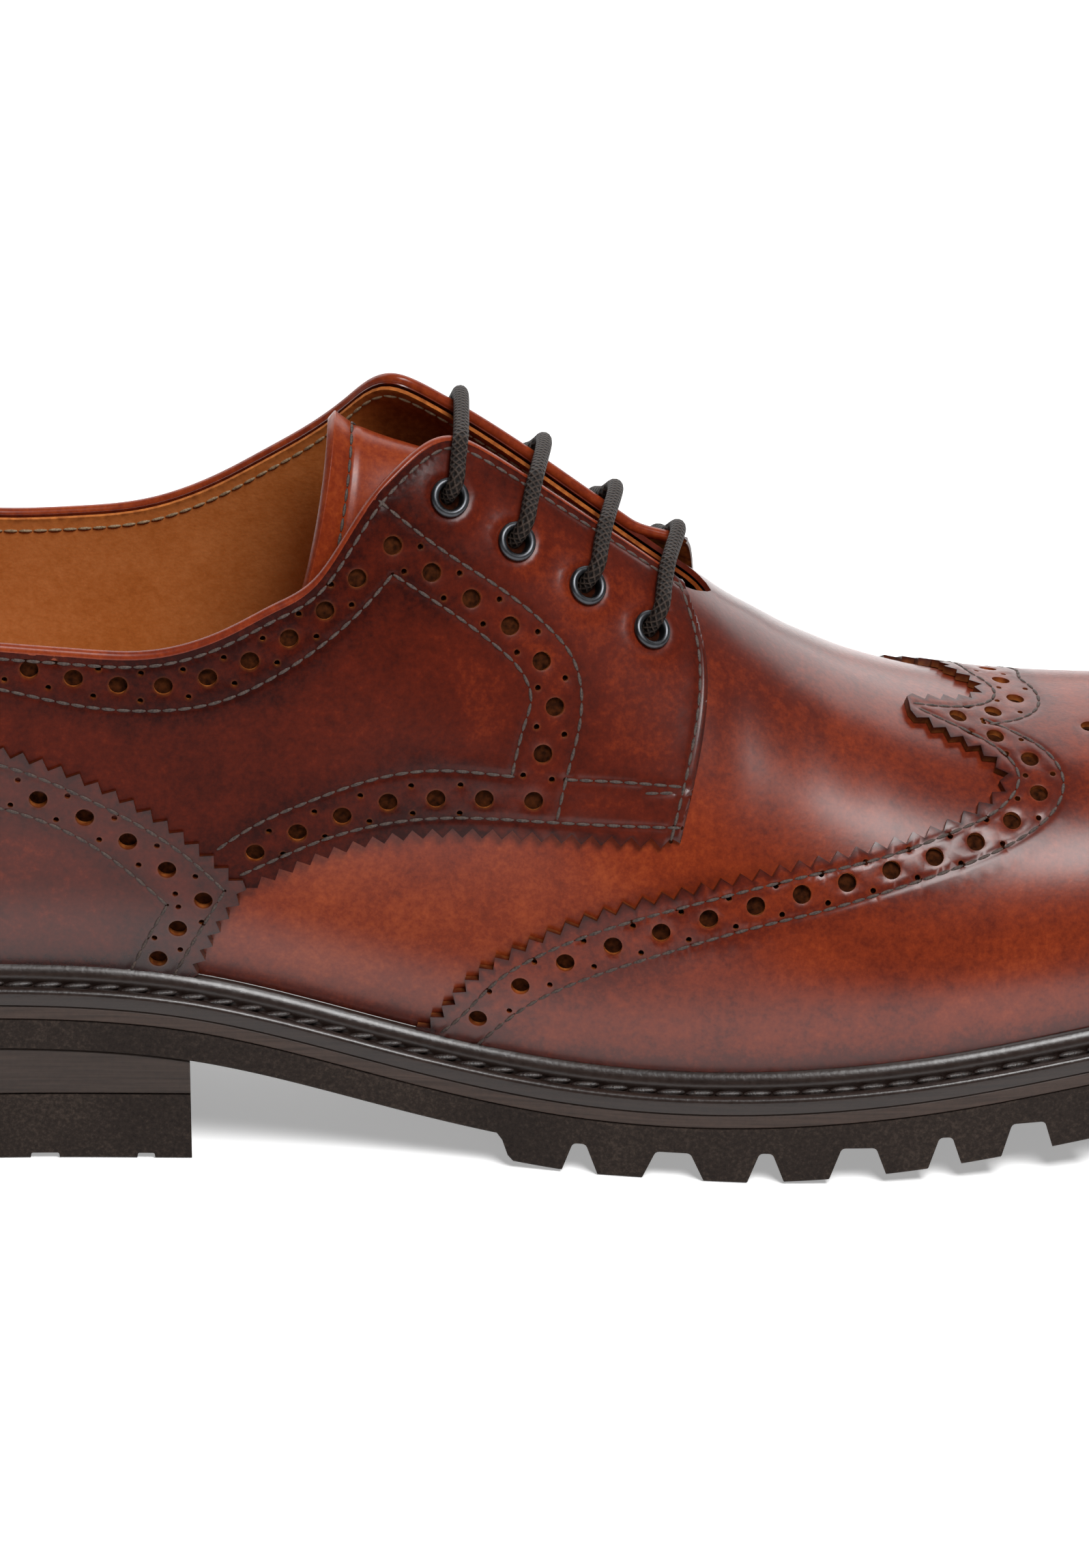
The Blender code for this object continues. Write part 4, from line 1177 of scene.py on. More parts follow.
# %% [markdown]
# ## Rolled topline
# The quarters' top edge is turned over the wall and sewn down inside. A bevelled curve would give a
# round cord, but the fold is flatter and changes with the wall, so its section is worked out at each
# place along the collar and a grid is laid through all sections.


# %% Rolled topline
def laid_sections(name, sections):
    """A grid laid through a list of sections."""
    count, points = sections.shape[:2]

    def lay(u, v):
        return sections[np.rint(u * (count - 1)).astype(int), np.rint(v * (points - 1)).astype(int)]

    return laid_grid(name, count - 1, points - 1, lay)


ROLL_DOWN, ROLL_RISE, ROLL_HEM = 1.2, 1.25, 2.3
ROLL_MIDDLE, ROLL_REACH, HEM_LIFT = 0.25, 1.15, 1.1


def fold_sections(side):
    """The quarter's edge, rolled over the wall from outside to the lining, from facing to heel."""
    q = np.concatenate([np.linspace(172.0, 108, 130), np.linspace(107.6, Q_HEEL, 170)])
    angles = np.concatenate([[0.0], np.linspace(0, np.pi, 13), [np.pi, 0.0]])
    down = ROLL_DOWN - ROLL_RISE * np.sin(angles)
    down[[0, -2, -1]] = ROLL_HEM
    lift = ROLL_MIDDLE + ROLL_REACH * np.cos(angles)
    lift[[0, -1]] = HEM_LIFT
    taper = np.clip((FRONT_TOP - q) / 2.5, 0.15, 1)[:, None]
    q, down, lift = np.broadcast_arrays(q[:, None], ROLL_DOWN + (down - ROLL_DOWN) * taper,
                                        ROLL_MIDDLE + (lift - ROLL_MIDDLE) * taper)
    top = COLLAR[side_name(side)](q)
    return on_last(q, side, top - down / girth(q, side), lift + stand_off(q, side, top))


TOPLINE = join("rolled_topline", [laid_sections("topline_half", fold_sections(side)) for side in (-1, 1)])
edit(TOPLINE, (bpy.ops.mesh.remove_doubles, {"threshold": 1e-5}), (bpy.ops.mesh.fill_holes, {"sides": 0}),
     (bpy.ops.mesh.normals_make_consistent, {"inside": False}))
bpy.ops.object.shade_smooth_by_angle(angle=np.radians(60))
# The roll is drawn lighter than the quarters: worn, and with a painted sheen as well.
set_attribute(TOPLINE, "burnish", np.full(len(TOPLINE.data.vertices), 0.26))
set_polish(TOPLINE, 0.35)
finish_piece(TOPLINE, [UPPER_LEATHER], "upper_leather")

# %% [markdown]
# ## Heel counter
# The counter wraps the heel over both quarters in one piece. Its pinked edge runs over the quarters
# and turns down to the welt, with one band of holes between two rows. Two halves would be easier to
# draw, but one loop round the heel needs no seam behind.

# %% Counter
COUNTER_LIFT = 2.0
COUNTER_FRONT = [(90.0, 0.184), (86.0, 0.135), (82.3, 0.075), (79.3, 0.019)]
COUNTER_ROW = [(-11.0, 0.345), (20.0, 0.342), (44.9, 0.327), (61.7, 0.281), (79.2, 0.214), (86.0, 0.174)]
COUNTER_ROW_FRONT = [(86.0, 0.174), (81.9, 0.112), (76.4, 0.024)]
COUNTER_LOW_ROW = [(-11.0, 0.282), (20.0, 0.280), (44.8, 0.264), (61.5, 0.215), (75.3, 0.135)]
COUNTER_LOW_FRONT = [(75.3, 0.135), (71.2, 0.072), (68.4, 0.024)]
COUNTER_HOLES = [(-11.0, 0.315), (20.0, 0.311), (49.5, 0.284), (57.7, 0.264), (65.1, 0.239), (73.7, 0.199),
                 (82.0, 0.152)]
COUNTER_FRONT_HOLES = [(82.0, 0.152), (77.0, 0.098), (73.4, 0.046)]


def round_heel(places):
    """A line that goes from the outer side round the heel to the inner side."""
    outer, inner = back_line(places, -1), back_line(places, 1)
    return np.concatenate([outer[::-1], inner[1:]])


q = np.linspace(Q_HEEL, 90, 40)
counter_top = round_heel(list(zip(q, COUNTER_TOP["t"](q))))
fronts = {side: BackPattern.pinked(back_line(COUNTER_FRONT, side)) for side in (-1, 1)}
counter_loop = np.concatenate([
    BackPattern.pinked(counter_top), fronts[1][1:], welt_run(79.0, Q_HEEL, 1, BackPattern)[:-1],
    welt_run(Q_HEEL, 79.0, -1, BackPattern), fronts[-1][::-1][:-1]])
counter_rows = [round_heel(COUNTER_ROW), round_heel(COUNTER_LOW_ROW)]
counter_holes = []
for side in (-1, 1):
    counter_rows += [back_line(COUNTER_ROW_FRONT, side), back_line(COUNTER_LOW_FRONT, side)]
    counter_holes += BackPattern.brogue(back_line(COUNTER_HOLES, side), 11)[0 if side < 0 else 1:]
    counter_holes += BackPattern.brogue(back_line(COUNTER_FRONT_HOLES, side), 2)[1:]
COUNTER = cut_panel("counter", BackPattern, counter_loop, counter_holes, counter_rows, COUNTER_LIFT,
                    lambda x: 0.62)
set_polish(COUNTER, 0.5)
finish_piece(COUNTER, [UPPER_LEATHER], "upper_leather", "heel_counter")

# %% [markdown]
# ## Stitches and needle holes
# Each stitch is a short, slightly flattened capsule of thread that dips into a needle hole at both
# ends. One is modelled and copied along every row; all copies are joined into one mesh, because
# hundreds of objects would be slow.


# %% Copies along rows
def template(operator, size, **settings):
    """Points and faces of a primitive scaled to a size in millimetres, then removed."""
    bpy.ops.object.select_all(action="DESELECT")
    operator(**settings)
    piece = bpy.context.object
    edit(piece, (bpy.ops.transform.resize, {"value": tuple(size)}))
    points = points_of(piece)
    faces = [tuple(face.vertices) for face in piece.data.polygons]
    bpy.data.objects.remove(piece)
    return points, faces


def copies(name, shape, spots):
    """One mesh of a shape's copies; a spot is (centre, along, out), in millimetres."""
    points, faces = shape
    all_points, all_faces = [], []
    for centre, along, out in spots:
        sideways = np.cross(out, along)
        all_faces += [tuple(k + len(all_points) * len(points) for k in face) for face in faces]
        all_points.append(centre + points @ np.array([along, sideways, out]))
    mesh = bpy.data.meshes.new(name)
    mesh.from_pydata(((np.concatenate(all_points) - SHIFT) * MM).tolist(), [], all_faces)
    piece = bpy.data.objects.new(name, mesh)
    bpy.context.scene.collection.objects.link(piece)
    only(piece)
    bpy.ops.object.shade_smooth()
    return piece


def seam_spots(pattern, row, lift, pitch):
    """Places for stitches along a row, and for the needle holes between them."""
    line = pattern.evenly(row, pitch / 4)
    q, side, t = pattern.place(line)
    points = on_last(q, side, t, lift + stand_off(q, side, t))
    out = unit(read_grid(NORMAL, q, side.astype(float), t))
    along = np.gradient(points, axis=0)
    along = unit(along - (along * out).sum(axis=1, keepdims=True) * out)
    spots = list(zip(points, along, out))
    return spots[2::4], spots[0::4]


STITCH_PITCH = 2.8
STITCH = template(bpy.ops.mesh.primitive_uv_sphere_add, (0.36, 0.28, 1.32), segments=6, ring_count=6)
STITCH = STITCH[0][:, [2, 0, 1]], STITCH[1]


def disc(radius, count):
    return template(bpy.ops.mesh.primitive_circle_add, (radius, radius, 1), vertices=count, fill_type="NGON")


NEEDLE = disc(0.41, 8)
seams = [(BackPattern, row, QUARTER_TOP) for side in (-1, 1) for row in quarters[side][1]]
seams += [(ToePattern, row, WING_TOP) for row in wing_rows]
seams += [(BackPattern, row, COUNTER_LIFT) for row in counter_rows]
stitch_spots, needle_spots = [], []
for pattern, row, top in seams:
    stitch_spots += seam_spots(pattern, row, top - 0.13, STITCH_PITCH)[0]
    needle_spots += seam_spots(pattern, row, top - 0.17, STITCH_PITCH)[1]
finish_piece(copies("seam_stitches", STITCH, stitch_spots), [THREAD], "upper_leather")
# Needle holes are flat dark discs just under each row: painted shade, not real holes.
finish_piece(copies("needle_holes", NEEDLE, needle_spots), [HOLE_SHADE], "upper_leather")


# %% [markdown]
# ## Floors of the punched holes
# A punched hole shows the layer under it, lying in shade. The vamp could be seen through the holes, but
# its colour is too even there, so a small disc with a finish of its own lies at the bottom of each hole:
# painted shade, near-black in pinholes and eyelets and dark brown in the big holes.


# %% Floors of the punched holes
def floor_spots(pattern, holes):
    """Places just above the last under each hole."""
    flat = np.array([hole[:2] for hole in holes])
    q, side, t = pattern.place(flat)
    points, out = on_last(q, side, t, 0.3), unit(read_grid(NORMAL, q, side.astype(float), t))
    along = unit(np.cross(out, (0.0, 0.3, 1.0)))
    return list(zip(points, along, out))


punched = [(BackPattern, quarters[-1][2]), (BackPattern, quarters[1][2]), (ToePattern, wing_holes),
           (BackPattern, counter_holes)]
for name, shape, low, high, finish in (("pinhole_floors", disc(0.9, 8), 0, 1, HOLE_SHADE),
                                       ("hole_floors", disc(2.2, 10), 1, 2, HOLE_FLOOR_SHADE),
                                       ("eyelet_floors", disc(3.2, 16), 2, 9, HOLE_SHADE)):
    spots = []
    for pattern, holes in punched:
        some = [hole for hole in holes if low < hole[2] < high]
        spots += floor_spots(pattern, some) if some else []
    finish_piece(copies(name, shape, spots), [finish], "upper_leather")

# %% [markdown]
# ## Tongue
# A soft sheet under the facings, sunk a little between them. It is a grid laid across both sides of
# the last, with a wall from Solidify and a row of stitches near its free edge. A cloth simulation
# could drape it, but its form is known here: it follows the instep, so it is laid there.

# %% Tongue
TONGUE_START, TONGUE_END, TONGUE_THICK, TONGUE_GAP = 109.2, 187.0, 2.0, 1.3
TONGUE_CURL, TONGUE_PRESS = 1.4, 0.35
TONGUE_FORM = table(
    "q edge drop",
    (100, 0.67, 10.5), (105, 0.66, 11.0), (112, 0.66, 11.5), (122, 0.68, 10.5), (136, 0.70, 7.0),
    (155, 0.71, 3.0), (172, 0.73, 0.5), (187, 0.74, 0.0))


def tongue_points(along, share, lift=0.0):
    """Points of the tongue: millimetres along from its end, and -1 to 1 from outer to inner edge."""
    start = TONGUE_START - 8.2 * np.maximum(-share, 0)**1.5 + 6.0 * np.maximum(share - 0.1, 0)
    q = start + (TONGUE_END - start) * along / (TONGUE_END - TONGUE_START)
    side = np.where(share < 0, -1.0, 1.0)
    low = TONGUE_FORM["edge"](q)
    curl = TONGUE_CURL * np.exp(-along / 4.0) - TONGUE_PRESS * bell(along - 4.0, 0.8)
    points = on_last(q, side, low + (1 - low) * (1 - abs(share)), lift + curl - WALL - TONGUE_GAP)
    return points - np.stack([0 * q, 0 * q, TONGUE_FORM["drop"](q)], -1)


def tongue_lay(u, v):
    return tongue_points((TONGUE_END - TONGUE_START) * u**1.3, 2 * v - 1)


TONGUE = laid_grid("tongue_sheet", 90, 60, tongue_lay, outward=False)
if sum(face.normal.z for face in TONGUE.data.polygons) < 0:
    edit(TONGUE, (bpy.ops.mesh.flip_normals, {}))
apply(TONGUE, "SOLIDIFY", thickness=TONGUE_THICK * MM, offset=-1.0)
apply(TONGUE, "BEVEL", width=0.0005, segments=2, limit_method="ANGLE", angle_limit=1.0)
bpy.ops.object.shade_smooth_by_angle(angle=np.radians(40))
set_attribute(TONGUE, "burnish", np.full(len(TONGUE.data.vertices), 0.2))
set_polish(TONGUE, 0.5)
finish_piece(TONGUE, [UPPER_LEATHER], "upper_leather", "tongue")


# %% [markdown]
# ## Rows on tongue and lining
# A row of stitches holds the tongue's edge, and a pale row follows the collar inside, below the
# lining's cut edge, which stays raw. The same stitch is copied, along lines of points this time,
# because these pieces have no flat pattern.


# %% Rows on tongue and lining
def row_spots(line, out, pitch):
    """Places for stitches along a line of points, with the direction out of the leather at each."""
    length = line_length(line)
    at = np.arange(pitch / 2, length[-1], pitch)

    def read(values, place):
        return np.stack([np.interp(place, length, column) for column in values.T], -1)

    spots = []
    for centre, ahead, up in zip(read(line, at), read(line, at + 0.4), unit(read(out, at))):
        along = ahead - centre
        spots.append((centre, unit(along - (along @ up) * up), up))
    return spots


RAW_END, LINING_ROW = 168.0, 3.4
rim = np.concatenate([on_last(Q_GRID, side, top_edge(Q_GRID, side) - LINING_DROP / girth(Q_GRID, side), -WALL)
                      for side in (-1, 1)])[np.tile(Q_GRID < RAW_END, 2)]
set_attribute(LINING, "raw", 0.8 * np.clip(1.3 - nearest(points_of(LINING) / MM + SHIFT, rim), 0, 1))

STITCH_LINE = 3.6
share = np.linspace(-0.97, 0.97, 200)
row = tongue_points(np.full(200, STITCH_LINE), share, 0.1)
ahead = tongue_points(np.full(200, STITCH_LINE + 0.5), share, 0.1)
up = unit(np.cross(ahead - row, np.gradient(row, axis=0)))
finish_piece(copies("tongue_stitches", STITCH, row_spots(row, up, STITCH_PITCH)), [THREAD], "upper_leather")

lining_spots = []
for side in (-1, 1):
    q = np.linspace(Q_HEEL, 171, 500)
    t = COLLAR[side_name(side)](q) - LINING_ROW / girth(q, side)
    inner, outer = on_last(q, side, t, -WALL - 0.08), on_last(q, side, t)
    lining_spots += row_spots(inner, inner - outer, STITCH_PITCH)
finish_piece(copies("lining_stitches", STITCH, lining_spots), [PALE_THREAD], "lining_leather")

# %% [markdown]
# ## Welt
# A storm welt: its edge and lip are flat, then comes a groove that holds the thick welt stitches,
# and a round bead that seals the upper. The section is drawn once and carried round the shoe. A
# bevelled curve carries a section too, but it can't let lip and bead follow two different lines.

# %% Welt
def feather_line(q, side, offset):
    """Plan points beside the feather edge, off it along the level normal."""
    level = unit(read_grid(NORMAL, q, np.full(len(q), float(side)), 0 * q)[:, :2])
    return edge(q, side, FEATHER) + offset * level


def raised(plan, height):
    return np.column_stack([plan, lip(plan[:, 0]) + height])


WELT_LIP = [(0.0, GAP - WELT), (0.0, -0.8), (0.22, -0.3), (0.7, 0.0), (1.6, 0.0), (2.0, -0.25), (2.5, -0.6),
            (3.3, -0.62)]
WELT_BEAD = [(3.6, -0.2), (3.85, 0.6), (3.75, 1.5), (3.3, 2.4), (2.6, 3.05), (1.9, 3.4), (1.3, 3.3)]
WELT_BACK = [(0.25, 3.3), (0.2, 0.2), (-1.9, 0.0), (-1.9, GAP - WELT), (0.0, GAP - WELT)]
BEAD_GIRTH = 2.7


def welt_section(q, side):
    """The welt's outline at each q, as an array of points round the section."""
    ring = [raised(edge(q, side, inset), height) for inset, height in WELT_LIP]
    ring += [raised(feather_line(q, side, reach), height) for reach, height in WELT_BEAD]
    ring.append(on_last(q, side, BEAD_GIRTH / girth(q, side), 0.1))
    ring += [raised(feather_line(q, side, reach), height) for reach, height in WELT_BACK]
    ring.append(ring[0])
    return np.stack(ring, 1)


def round_shoe(section, count):
    """Sections from the heel along the outer side to the toe, and back along the inner side."""
    q = np.linspace(Q_HEEL, Q_TOE, count)
    return np.concatenate([section(q, -1), section(q, 1)[::-1]])


WELT_STRIP = laid_sections("welt_strip", round_shoe(welt_section, 330))
bpy.ops.object.shade_smooth_by_angle(angle=np.radians(55))
finish_piece(WELT_STRIP, [WELT_LEATHER], "welt_leather", "welt")

# %% Welt stitches
WELT_PITCH = 5.4
WELT_STITCH = template(bpy.ops.mesh.primitive_uv_sphere_add, (0.8, 0.62, 2.7), segments=8, ring_count=7)
WELT_STITCH = WELT_STITCH[0][:, [2, 0, 1]], WELT_STITCH[1]
groove = round_shoe(lambda q, side: raised(edge(q, side, 2.75), -0.15)[:, None, :], 700)[:, 0]
upright = np.tile([0.0, 0.0, 1.0], (len(groove), 1))
spots = [(centre, unit(along + 0.15 * np.cross(out, along)), out)
         for centre, along, out in row_spots(groove, upright, WELT_PITCH)]
finish_piece(copies("welt_stitches", WELT_STITCH, spots), [WELT_THREAD], "welt_leather")

# %% [markdown]
# ## Sole layers
# Midsole, rubber and heel are slabs between two heights, all with the last's outline. A sleeve of
# sections gives them clean rows along the edge; the lugs are cut out of the rubber by Booleans with
# tapered cutters, as a mould would form them.


# %% Slabs
def slab_section(inset, bottom, top, soft):
    """The section of a slab: rounded walls, and faces with points across."""
    corners = [(-1, 0, soft), (-1, soft, 0), (-1, None, 0), (-1, 1, soft)]
    corners += [(share, 1, 0) for share in (-0.6, -0.2, 0.2, 0.6)]
    corners += [(1, 1, soft), (1, None, 0), (1, soft, 0), (1, 0, soft)]
    corners += [(share, 0, 0) for share in (0.6, 0.2, -0.2, -0.6)] + [(-1, 0, soft)]

    def section(q):
        outer, inner = edge(q, -1, inset + soft), edge(q, 1, inset + soft)
        ring = []
        for share, height, pull in corners:
            if abs(share) == 1:
                plan = edge(q, share, inset + pull)
            else:
                plan = outer + (inner - outer) * (share + 1) / 2
            low, high = bottom(plan[:, 0]), top(plan[:, 0])
            z = {0: low, 1: high, soft: low + soft, None: high - soft}[height]
            ring.append(np.column_stack([plan, z]))
        return np.stack(ring, 1)

    return section


def slab(name, start, end, count, inset, bottom, top, soft=0.35):
    piece = laid_sections(name, slab_section(inset, bottom, top, soft)(np.linspace(start, end, count)))
    edit(piece, (bpy.ops.mesh.select_all, {"action": "DESELECT"}), (bpy.ops.mesh.select_non_manifold, {}),
         (bpy.ops.mesh.edge_face_add, {}), (bpy.ops.mesh.select_all, {"action": "SELECT"}),
         (bpy.ops.mesh.normals_make_consistent, {"inside": False}))
    bpy.ops.object.shade_smooth_by_angle(angle=np.radians(35))
    return piece


# %% Midsole, rubber and heel
RUBBER, TREAD = 6.2, 11.6
FIRST_LUG, LUG_RISE = 138.6, 2.5
HEEL_BREAST, TOP_PIECE = 78.7, 13.6


def tread_bottom(x):
    """Underside of the rubber: level over heel and waist, down to the floor at the lugs."""
    waist, lugs = rubber_top(x) - RUBBER, np.maximum(rubber_top(x) - TREAD, 0)
    return lugs + (waist - lugs) * (1 - smooth_step(x, FIRST_LUG - LUG_RISE, FIRST_LUG))


MIDSOLE_SLAB = slab("midsole_edge", Q_HEEL, Q_TOE, 330, 0.15, lambda x: rubber_top(x) + 0.1,
                    lambda x: rubber_top(x) + MIDSOLE + 0.1)
finish_piece(MIDSOLE_SLAB, [MIDSOLE_LEATHER], "midsole_leather", "midsole")
OUTSOLE_SLAB = slab("rubber_sole", Q_HEEL, Q_TOE, 330, 0.0, tread_bottom, rubber_top, 0.4)
STACK_SLAB = slab("stacked_heel", Q_HEEL, HEEL_BREAST, 90, 0.4, lambda x: TOP_PIECE + 0.15 + 0 * x,
                  lambda x: rubber_top(x) - RUBBER - 0.15)
finish_piece(STACK_SLAB, [STACK_LEATHER], "heel_stack", "heel_stack")
TOP_SLAB = slab("heel_rubber", Q_HEEL, HEEL_BREAST, 90, 0.0, lambda x: 0 * x,
                lambda x: TOP_PIECE + 0 * x, 0.4)

# %% Cut the tread
LUG_GAPS = ({"x": 151.2, "floor": 6.8, "root": 2.4}, {"x": 168.6, "floor": 11.6, "root": 6.4},
            {"x": 185.9, "floor": 7.0, "root": 2.4}, {"x": 203.2, "floor": 10.8, "root": 6.4},
            {"x": 219.5, "floor": 6.4, "root": 2.4}, {"x": 235.1, "floor": 9.8, "root": 6.2},
            {"x": 251.1, "floor": 6.4, "root": 2.4}, {"x": 266.9, "floor": 9.8, "root": 6.2},
            {"x": 282.5, "floor": 6.0, "root": 2.4})
LUG_DEPTH, LUG_REACH, LUG_GROOVE = 6.4, 19.0, 5.0
GROOVE_DEPTH, GROOVE_SPAN = 5.4, (144.6, 277.0)
HEEL_GROOVES = ({"x": 51.1, "width": 5.2}, {"x": 70.1, "width": 3.1})
HEEL_GROOVE_DEPTH = 1.2
CUTTER_WIDTH, CUTTER_DROP = 160.0, 4.0


def wedge(name, x, low, high, bottom, top, bevel):
    """A cutter right across the sole: a cube with a narrower, rounded top."""
    bpy.ops.object.select_all(action="DESELECT")
    bpy.ops.mesh.primitive_cube_add(size=1)
    piece = bpy.context.object
    piece.name = name
    share = points_of(piece)
    width = np.where(share[:, 2] > 0, high, low)
    height = np.where(share[:, 2] > 0, top, bottom)
    put_points(piece, np.stack([x + share[:, 0] * width, share[:, 1] * CUTTER_WIDTH, height], -1))
    apply(piece, "BEVEL", width=bevel * MM, segments=3, affect="EDGES")
    return piece


def long_groove(side):
    """A cutter that runs along the tread, between its edge lugs and its middle."""
    x, ring = np.linspace(*GROOVE_SPAN, 70), []
    for reach, high in ((0, 0), (0, 1), (LUG_GROOVE, 1), (LUG_GROOVE, 0), (0, 0)):
        y = side * (half_width(x, side, 0) - LUG_REACH - reach)
        ring.append(np.column_stack([x, y, rubber_top(x) - TREAD + GROOVE_DEPTH - TREAD * (1 - high)]))
    piece = laid_sections("long_groove", np.stack(ring, 1))
    edit(piece, (bpy.ops.mesh.fill_holes, {"sides": 0}),
         (bpy.ops.mesh.normals_make_consistent, {"inside": False}))
    return piece


def carve(piece, cutters):
    """Cuts the cutters out of a piece, then removes them."""
    tool = join("tread_cutter", cutters)
    apply(piece, "BOOLEAN", operation="DIFFERENCE", solver="EXACT", object=tool)
    bpy.data.objects.remove(tool)
    only(piece)
    bpy.ops.object.shade_smooth_by_angle(angle=np.radians(35))


cutters = []
for gap in LUG_GAPS:
    root = float(rubber_top(gap["x"])) - TREAD + LUG_DEPTH
    floor = max(float(rubber_top(gap["x"])) - TREAD, 0)
    slope = (gap["floor"] - gap["root"]) / (root - floor)
    mouth = gap["root"] + slope * (root - floor + CUTTER_DROP)
    cutters.append(wedge("lug_gap", gap["x"], mouth, gap["root"], floor - CUTTER_DROP, root, 0.7))
carve(OUTSOLE_SLAB, cutters)
carve(OUTSOLE_SLAB, [long_groove(side) for side in (-1, 1)])
finish_piece(OUTSOLE_SLAB, [SOLE_RUBBER], "sole_rubber", "outsole")
carve(TOP_SLAB, [wedge("heel_groove", groove["x"], groove["width"] + HEEL_GROOVE_DEPTH, groove["width"],
                       -CUTTER_DROP, HEEL_GROOVE_DEPTH, 0.3) for groove in HEEL_GROOVES])
finish_piece(TOP_SLAB, [SOLE_RUBBER], "sole_rubber", "heel_top_piece")


# %% [markdown]
# ## Insole
# A thin leather board closes the shoe's bottom inside the upper's wall. It could be one more slab, but
# it has to stay inside the lining, so its section runs from one feather edge to the other.

# %% Insole
INSOLE_RISE, INSOLE_ROOM, INSOLE_EDGE = 3.3, 0.35, 0.6


def insole_section(q):
    """The insole's outline at each q: up one edge, over the top with broken edges, back below."""
    outer, inner = [feather_line(q, side, -WALL - INSOLE_ROOM) for side in (-1, 1)]
    ring, top = [], WELT + INSOLE_RISE
    for share, height in ((-1, GAP), (-1, top - INSOLE_EDGE), (-0.95, top), (-0.4, top), (0.4, top),
                          (0.95, top), (1, top - INSOLE_EDGE), (1, GAP), (0.4, GAP), (-0.4, GAP), (-1, GAP)):
        plan = outer + (inner - outer) * (share + 1) / 2
        ring.append(np.column_stack([plan, rubber_top(plan[:, 0]) + MIDSOLE + height]))
    return np.stack(ring, 1)


INSOLE = laid_sections("sock", insole_section(np.linspace(Q_HEEL, Q_TOE, 200)))
set_attribute(INSOLE, "burnish", np.full(len(INSOLE.data.vertices), 0.45))
finish_piece(INSOLE, [LINING_LEATHER], "lining_leather", "insole")

# %% [markdown]
# ## Eyelets and lace
# An eyelet is a rolled ring with a short barrel. It is modelled once, from a torus whose inner edge
# is drawn down, and each copy is turned to its place. The lace is one round cord: straight bars
# across the throat, and hidden runs behind the facings from each bar to the next. A bevelled curve
# makes a cord as well; rings laid along the path also give the UV map that the braid follows.


# %% Eyelets
def eyelet_frame(row, side):
    """Centre of an eyelet on the last, and the directions along the shoe and out of the leather."""
    q, t = np.array([row["q"]]), np.array([row[side_name(side)]])
    out = unit(read_grid(NORMAL, q, np.array([float(side)]), t))[0]
    return on_last(q, side, t)[0], unit(np.cross((0.0, 1.0, 0.0), out)), out


RING_RADIUS, RING_THICK, RING_LIFT = 3.0, 0.74, 0.35
BORE_RADIUS, BARREL_DEPTH = 2.62, 2.2
EYELET = template(bpy.ops.mesh.primitive_torus_add, (1, 1, 1), major_radius=RING_RADIUS,
                  minor_radius=RING_THICK, major_segments=40, minor_segments=14)
shape = EYELET[0]
barrel = (np.hypot(shape[:, 0], shape[:, 1]) < BORE_RADIUS) & (shape[:, 2] < 0.05)
shape[:, 2] *= np.where(shape[:, 2] > 0, 1.05, 0.5)
shape[barrel, 2] -= BARREL_DEPTH
for side, word in ((-1, "outer"), (1, "inner")):
    for number, row in enumerate(EYELETS, 1):
        centre, along, out = eyelet_frame(row, side)
        seat = centre + (QUARTER_TOP + RING_LIFT) * out
        ring = copies(f"ring_{word}_{number}", EYELET, [(seat, along, out)])
        finish_piece(ring, [EYELET_METAL], "eyelet_metal", f"eyelet_{word}_{number}")

# %% Lace
LACE_RADIUS = 1.5
LACE_LEAN = (2.6, 5.2, 5.1, 4.6)
LACE_CREST, OUTER_CREST = (3.6, 4.9, 5.5, 6.1), 3.0
LACE_DEPTHS = (4.4, 2.0, 0.4)
LACE_RUN = np.array([(0.07, 1.0), (0.15, 3.0), (0.25, 3.9), (0.36, 3.9), (0.5, 3.4), (0.75, 3.1)])


def lace_half(number, side):
    """Half a bar: through the bore, over the ring, along the facing to its edge, leaning to the toe."""
    row = EYELETS[number - 1]
    centre, _, out = eyelet_frame(row, side)
    low, high = row[side_name(side)], float(COLLAR[side_name(side)](row["q"]))
    crest = LACE_CREST[number - 1] if side > 0 else OUTER_CREST
    run = np.vstack([LACE_RUN, (1.0, crest)])
    lean = LACE_LEAN[number - 1] * (run[:, 0]**0.6 if side > 0 else 0.6 * run[:, 0])
    over = on_last(row["q"] + lean, side, low + (high - low) * run[:, 0], run[:, 1])
    return np.concatenate([[centre - depth * out for depth in LACE_DEPTHS], over])


def lace_path():
    """One lace: bars 1, 3, 4 and 2 in turn, joined by runs behind the facings."""
    path = []
    for number, start in ((1, -1), (3, 1), (4, -1), (2, 1)):
        path += list(lace_half(number, start)) + list(lace_half(number, -start)[::-1])
    top = lace_half(1, -1)[0]
    return np.array(path + [path[-1] * 0.3 + top * 0.7])


def softened(path, times):
    """A path with its corners cut, again and again, which never swings past its points."""
    for _ in range(times):
        near, far = path[:-1] * 0.75 + path[1:] * 0.25, path[:-1] * 0.25 + path[1:] * 0.75
        path = np.concatenate([path[:1], np.stack([near, far], 1).reshape(-1, 3), path[-1:]])
    return path


def tube_sections(path, radius, count, sides):
    """Rings round a path, turned as little as possible from one to the next."""
    path = softened(path, 3)
    length = line_length(path)
    at = np.linspace(0, length[-1], count)
    line = np.stack([np.interp(at, length, column) for column in path.T], -1)
    ahead = unit(np.gradient(line, axis=0))
    first, rings = unit(np.cross(ahead[0], (0.0, 0.0, 1.0))), []
    for centre, along in zip(line, ahead):
        first = unit(first - (first @ along) * along)
        second = np.cross(along, first)
        angles = np.linspace(0, 2 * np.pi, sides + 1)
        rings.append(centre + radius * (np.cos(angles)[:, None] * first + np.sin(angles)[:, None] * second))
    return np.array(rings), length[-1]


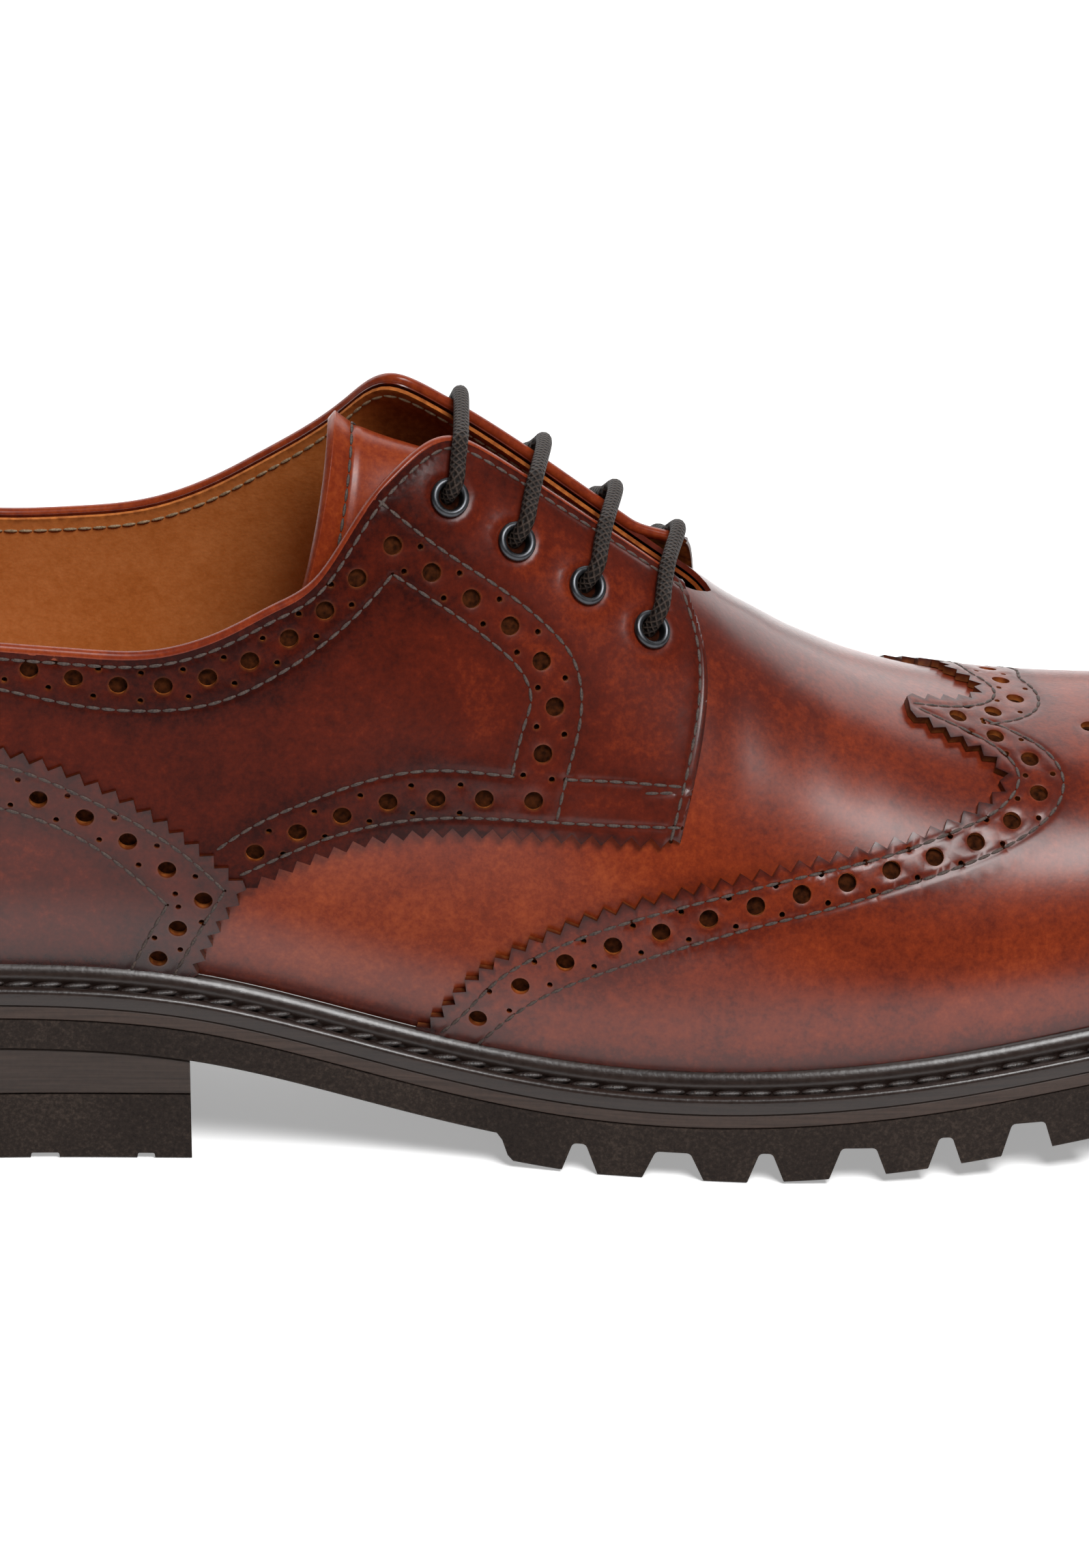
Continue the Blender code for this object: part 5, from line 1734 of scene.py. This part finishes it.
rings, lace_length = tube_sections(lace_path(), LACE_RADIUS, 700, 14)
LACE = laid_sections("lace", rings)
finish_piece(LACE, [LACE_CORD], "lace_cord", *[f"lace_bar_{number}" for number in (1, 2, 3, 4)])
print("lace length", round(lace_length), "mm")

# %% [markdown]
# ## Floor, light and camera
# The photo is a packshot: a white floor that is lit from below, so shadows stay pale, a softbox
# high in front of the toe and a wide one behind, which draws the shine along the ridge. The camera
# looks at the outer side from a little above, through a long lens. A picture of a studio could light
# it, but two area lights need no file and are easy to move.

# %% Floor and light
bpy.ops.object.select_all(action="DESELECT")
bpy.ops.mesh.primitive_plane_add(size=8)
FLOOR_PLANE = bpy.context.object
FLOOR_PLANE.name = "floor"
white = Finish("floor_white")
white.set(Base_Color=(0.86, 0.86, 0.86, 1), Roughness=0.9)
white.set(Emission_Color=(1, 1, 1, 1), Emission_Strength=0.35)
FLOOR_PLANE.data.materials.append(white.material)

WORLD = bpy.data.worlds.new("studio")
WORLD.use_nodes = True
WORLD.node_tree.nodes["Background"].inputs["Color"].default_value = (1, 1, 1, 1)
WORLD.node_tree.nodes["Background"].inputs["Strength"].default_value = 0.06
bpy.context.scene.world = WORLD
bpy.context.scene.view_settings.view_transform = "Standard"


def softbox(name, place, aim, size, power):
    """A large area light that looks at a point; places in metres."""
    bpy.ops.object.light_add(type="AREA", location=place)
    lamp = bpy.context.object
    lamp.name = name
    lamp.data.shape = "RECTANGLE"
    lamp.data.size, lamp.data.size_y = size
    lamp.data.energy = power
    lamp.rotation_euler = (Vector(aim) - Vector(place)).to_track_quat("-Z", "Y").to_euler()


softbox("front_softbox", (0.33, -0.63, 1.26), (0.03, 0, 0.05), (0.65, 0.55), 25)
softbox("back_softbox", (0.0, 1.25, 0.85), (0.0, 0, 0.05), (3.2, 1.5), 36)

# %% Camera
AZIMUTH, ELEVATION, DISTANCE, FOCAL = np.radians(-3), np.radians(28), 1600.0, 12400.0
TARGET = np.array([147.0, 0.0, 59.5])
PHOTO_HEIGHT, SENSOR = 2298, 36.0
level = np.cos(ELEVATION)
back = np.array([np.sin(AZIMUTH) * level, -np.cos(AZIMUTH) * level, np.sin(ELEVATION)])
spot = (TARGET + back * DISTANCE - SHIFT) * MM
bpy.ops.object.camera_add(location=spot)
CAMERA = bpy.context.object
CAMERA.data.sensor_fit = "VERTICAL"
CAMERA.data.sensor_height = SENSOR
CAMERA.data.lens = FOCAL / PHOTO_HEIGHT * SENSOR
CAMERA.rotation_euler = Vector(-back).to_track_quat("-Z", "Y").to_euler()
bpy.context.scene.camera = CAMERA
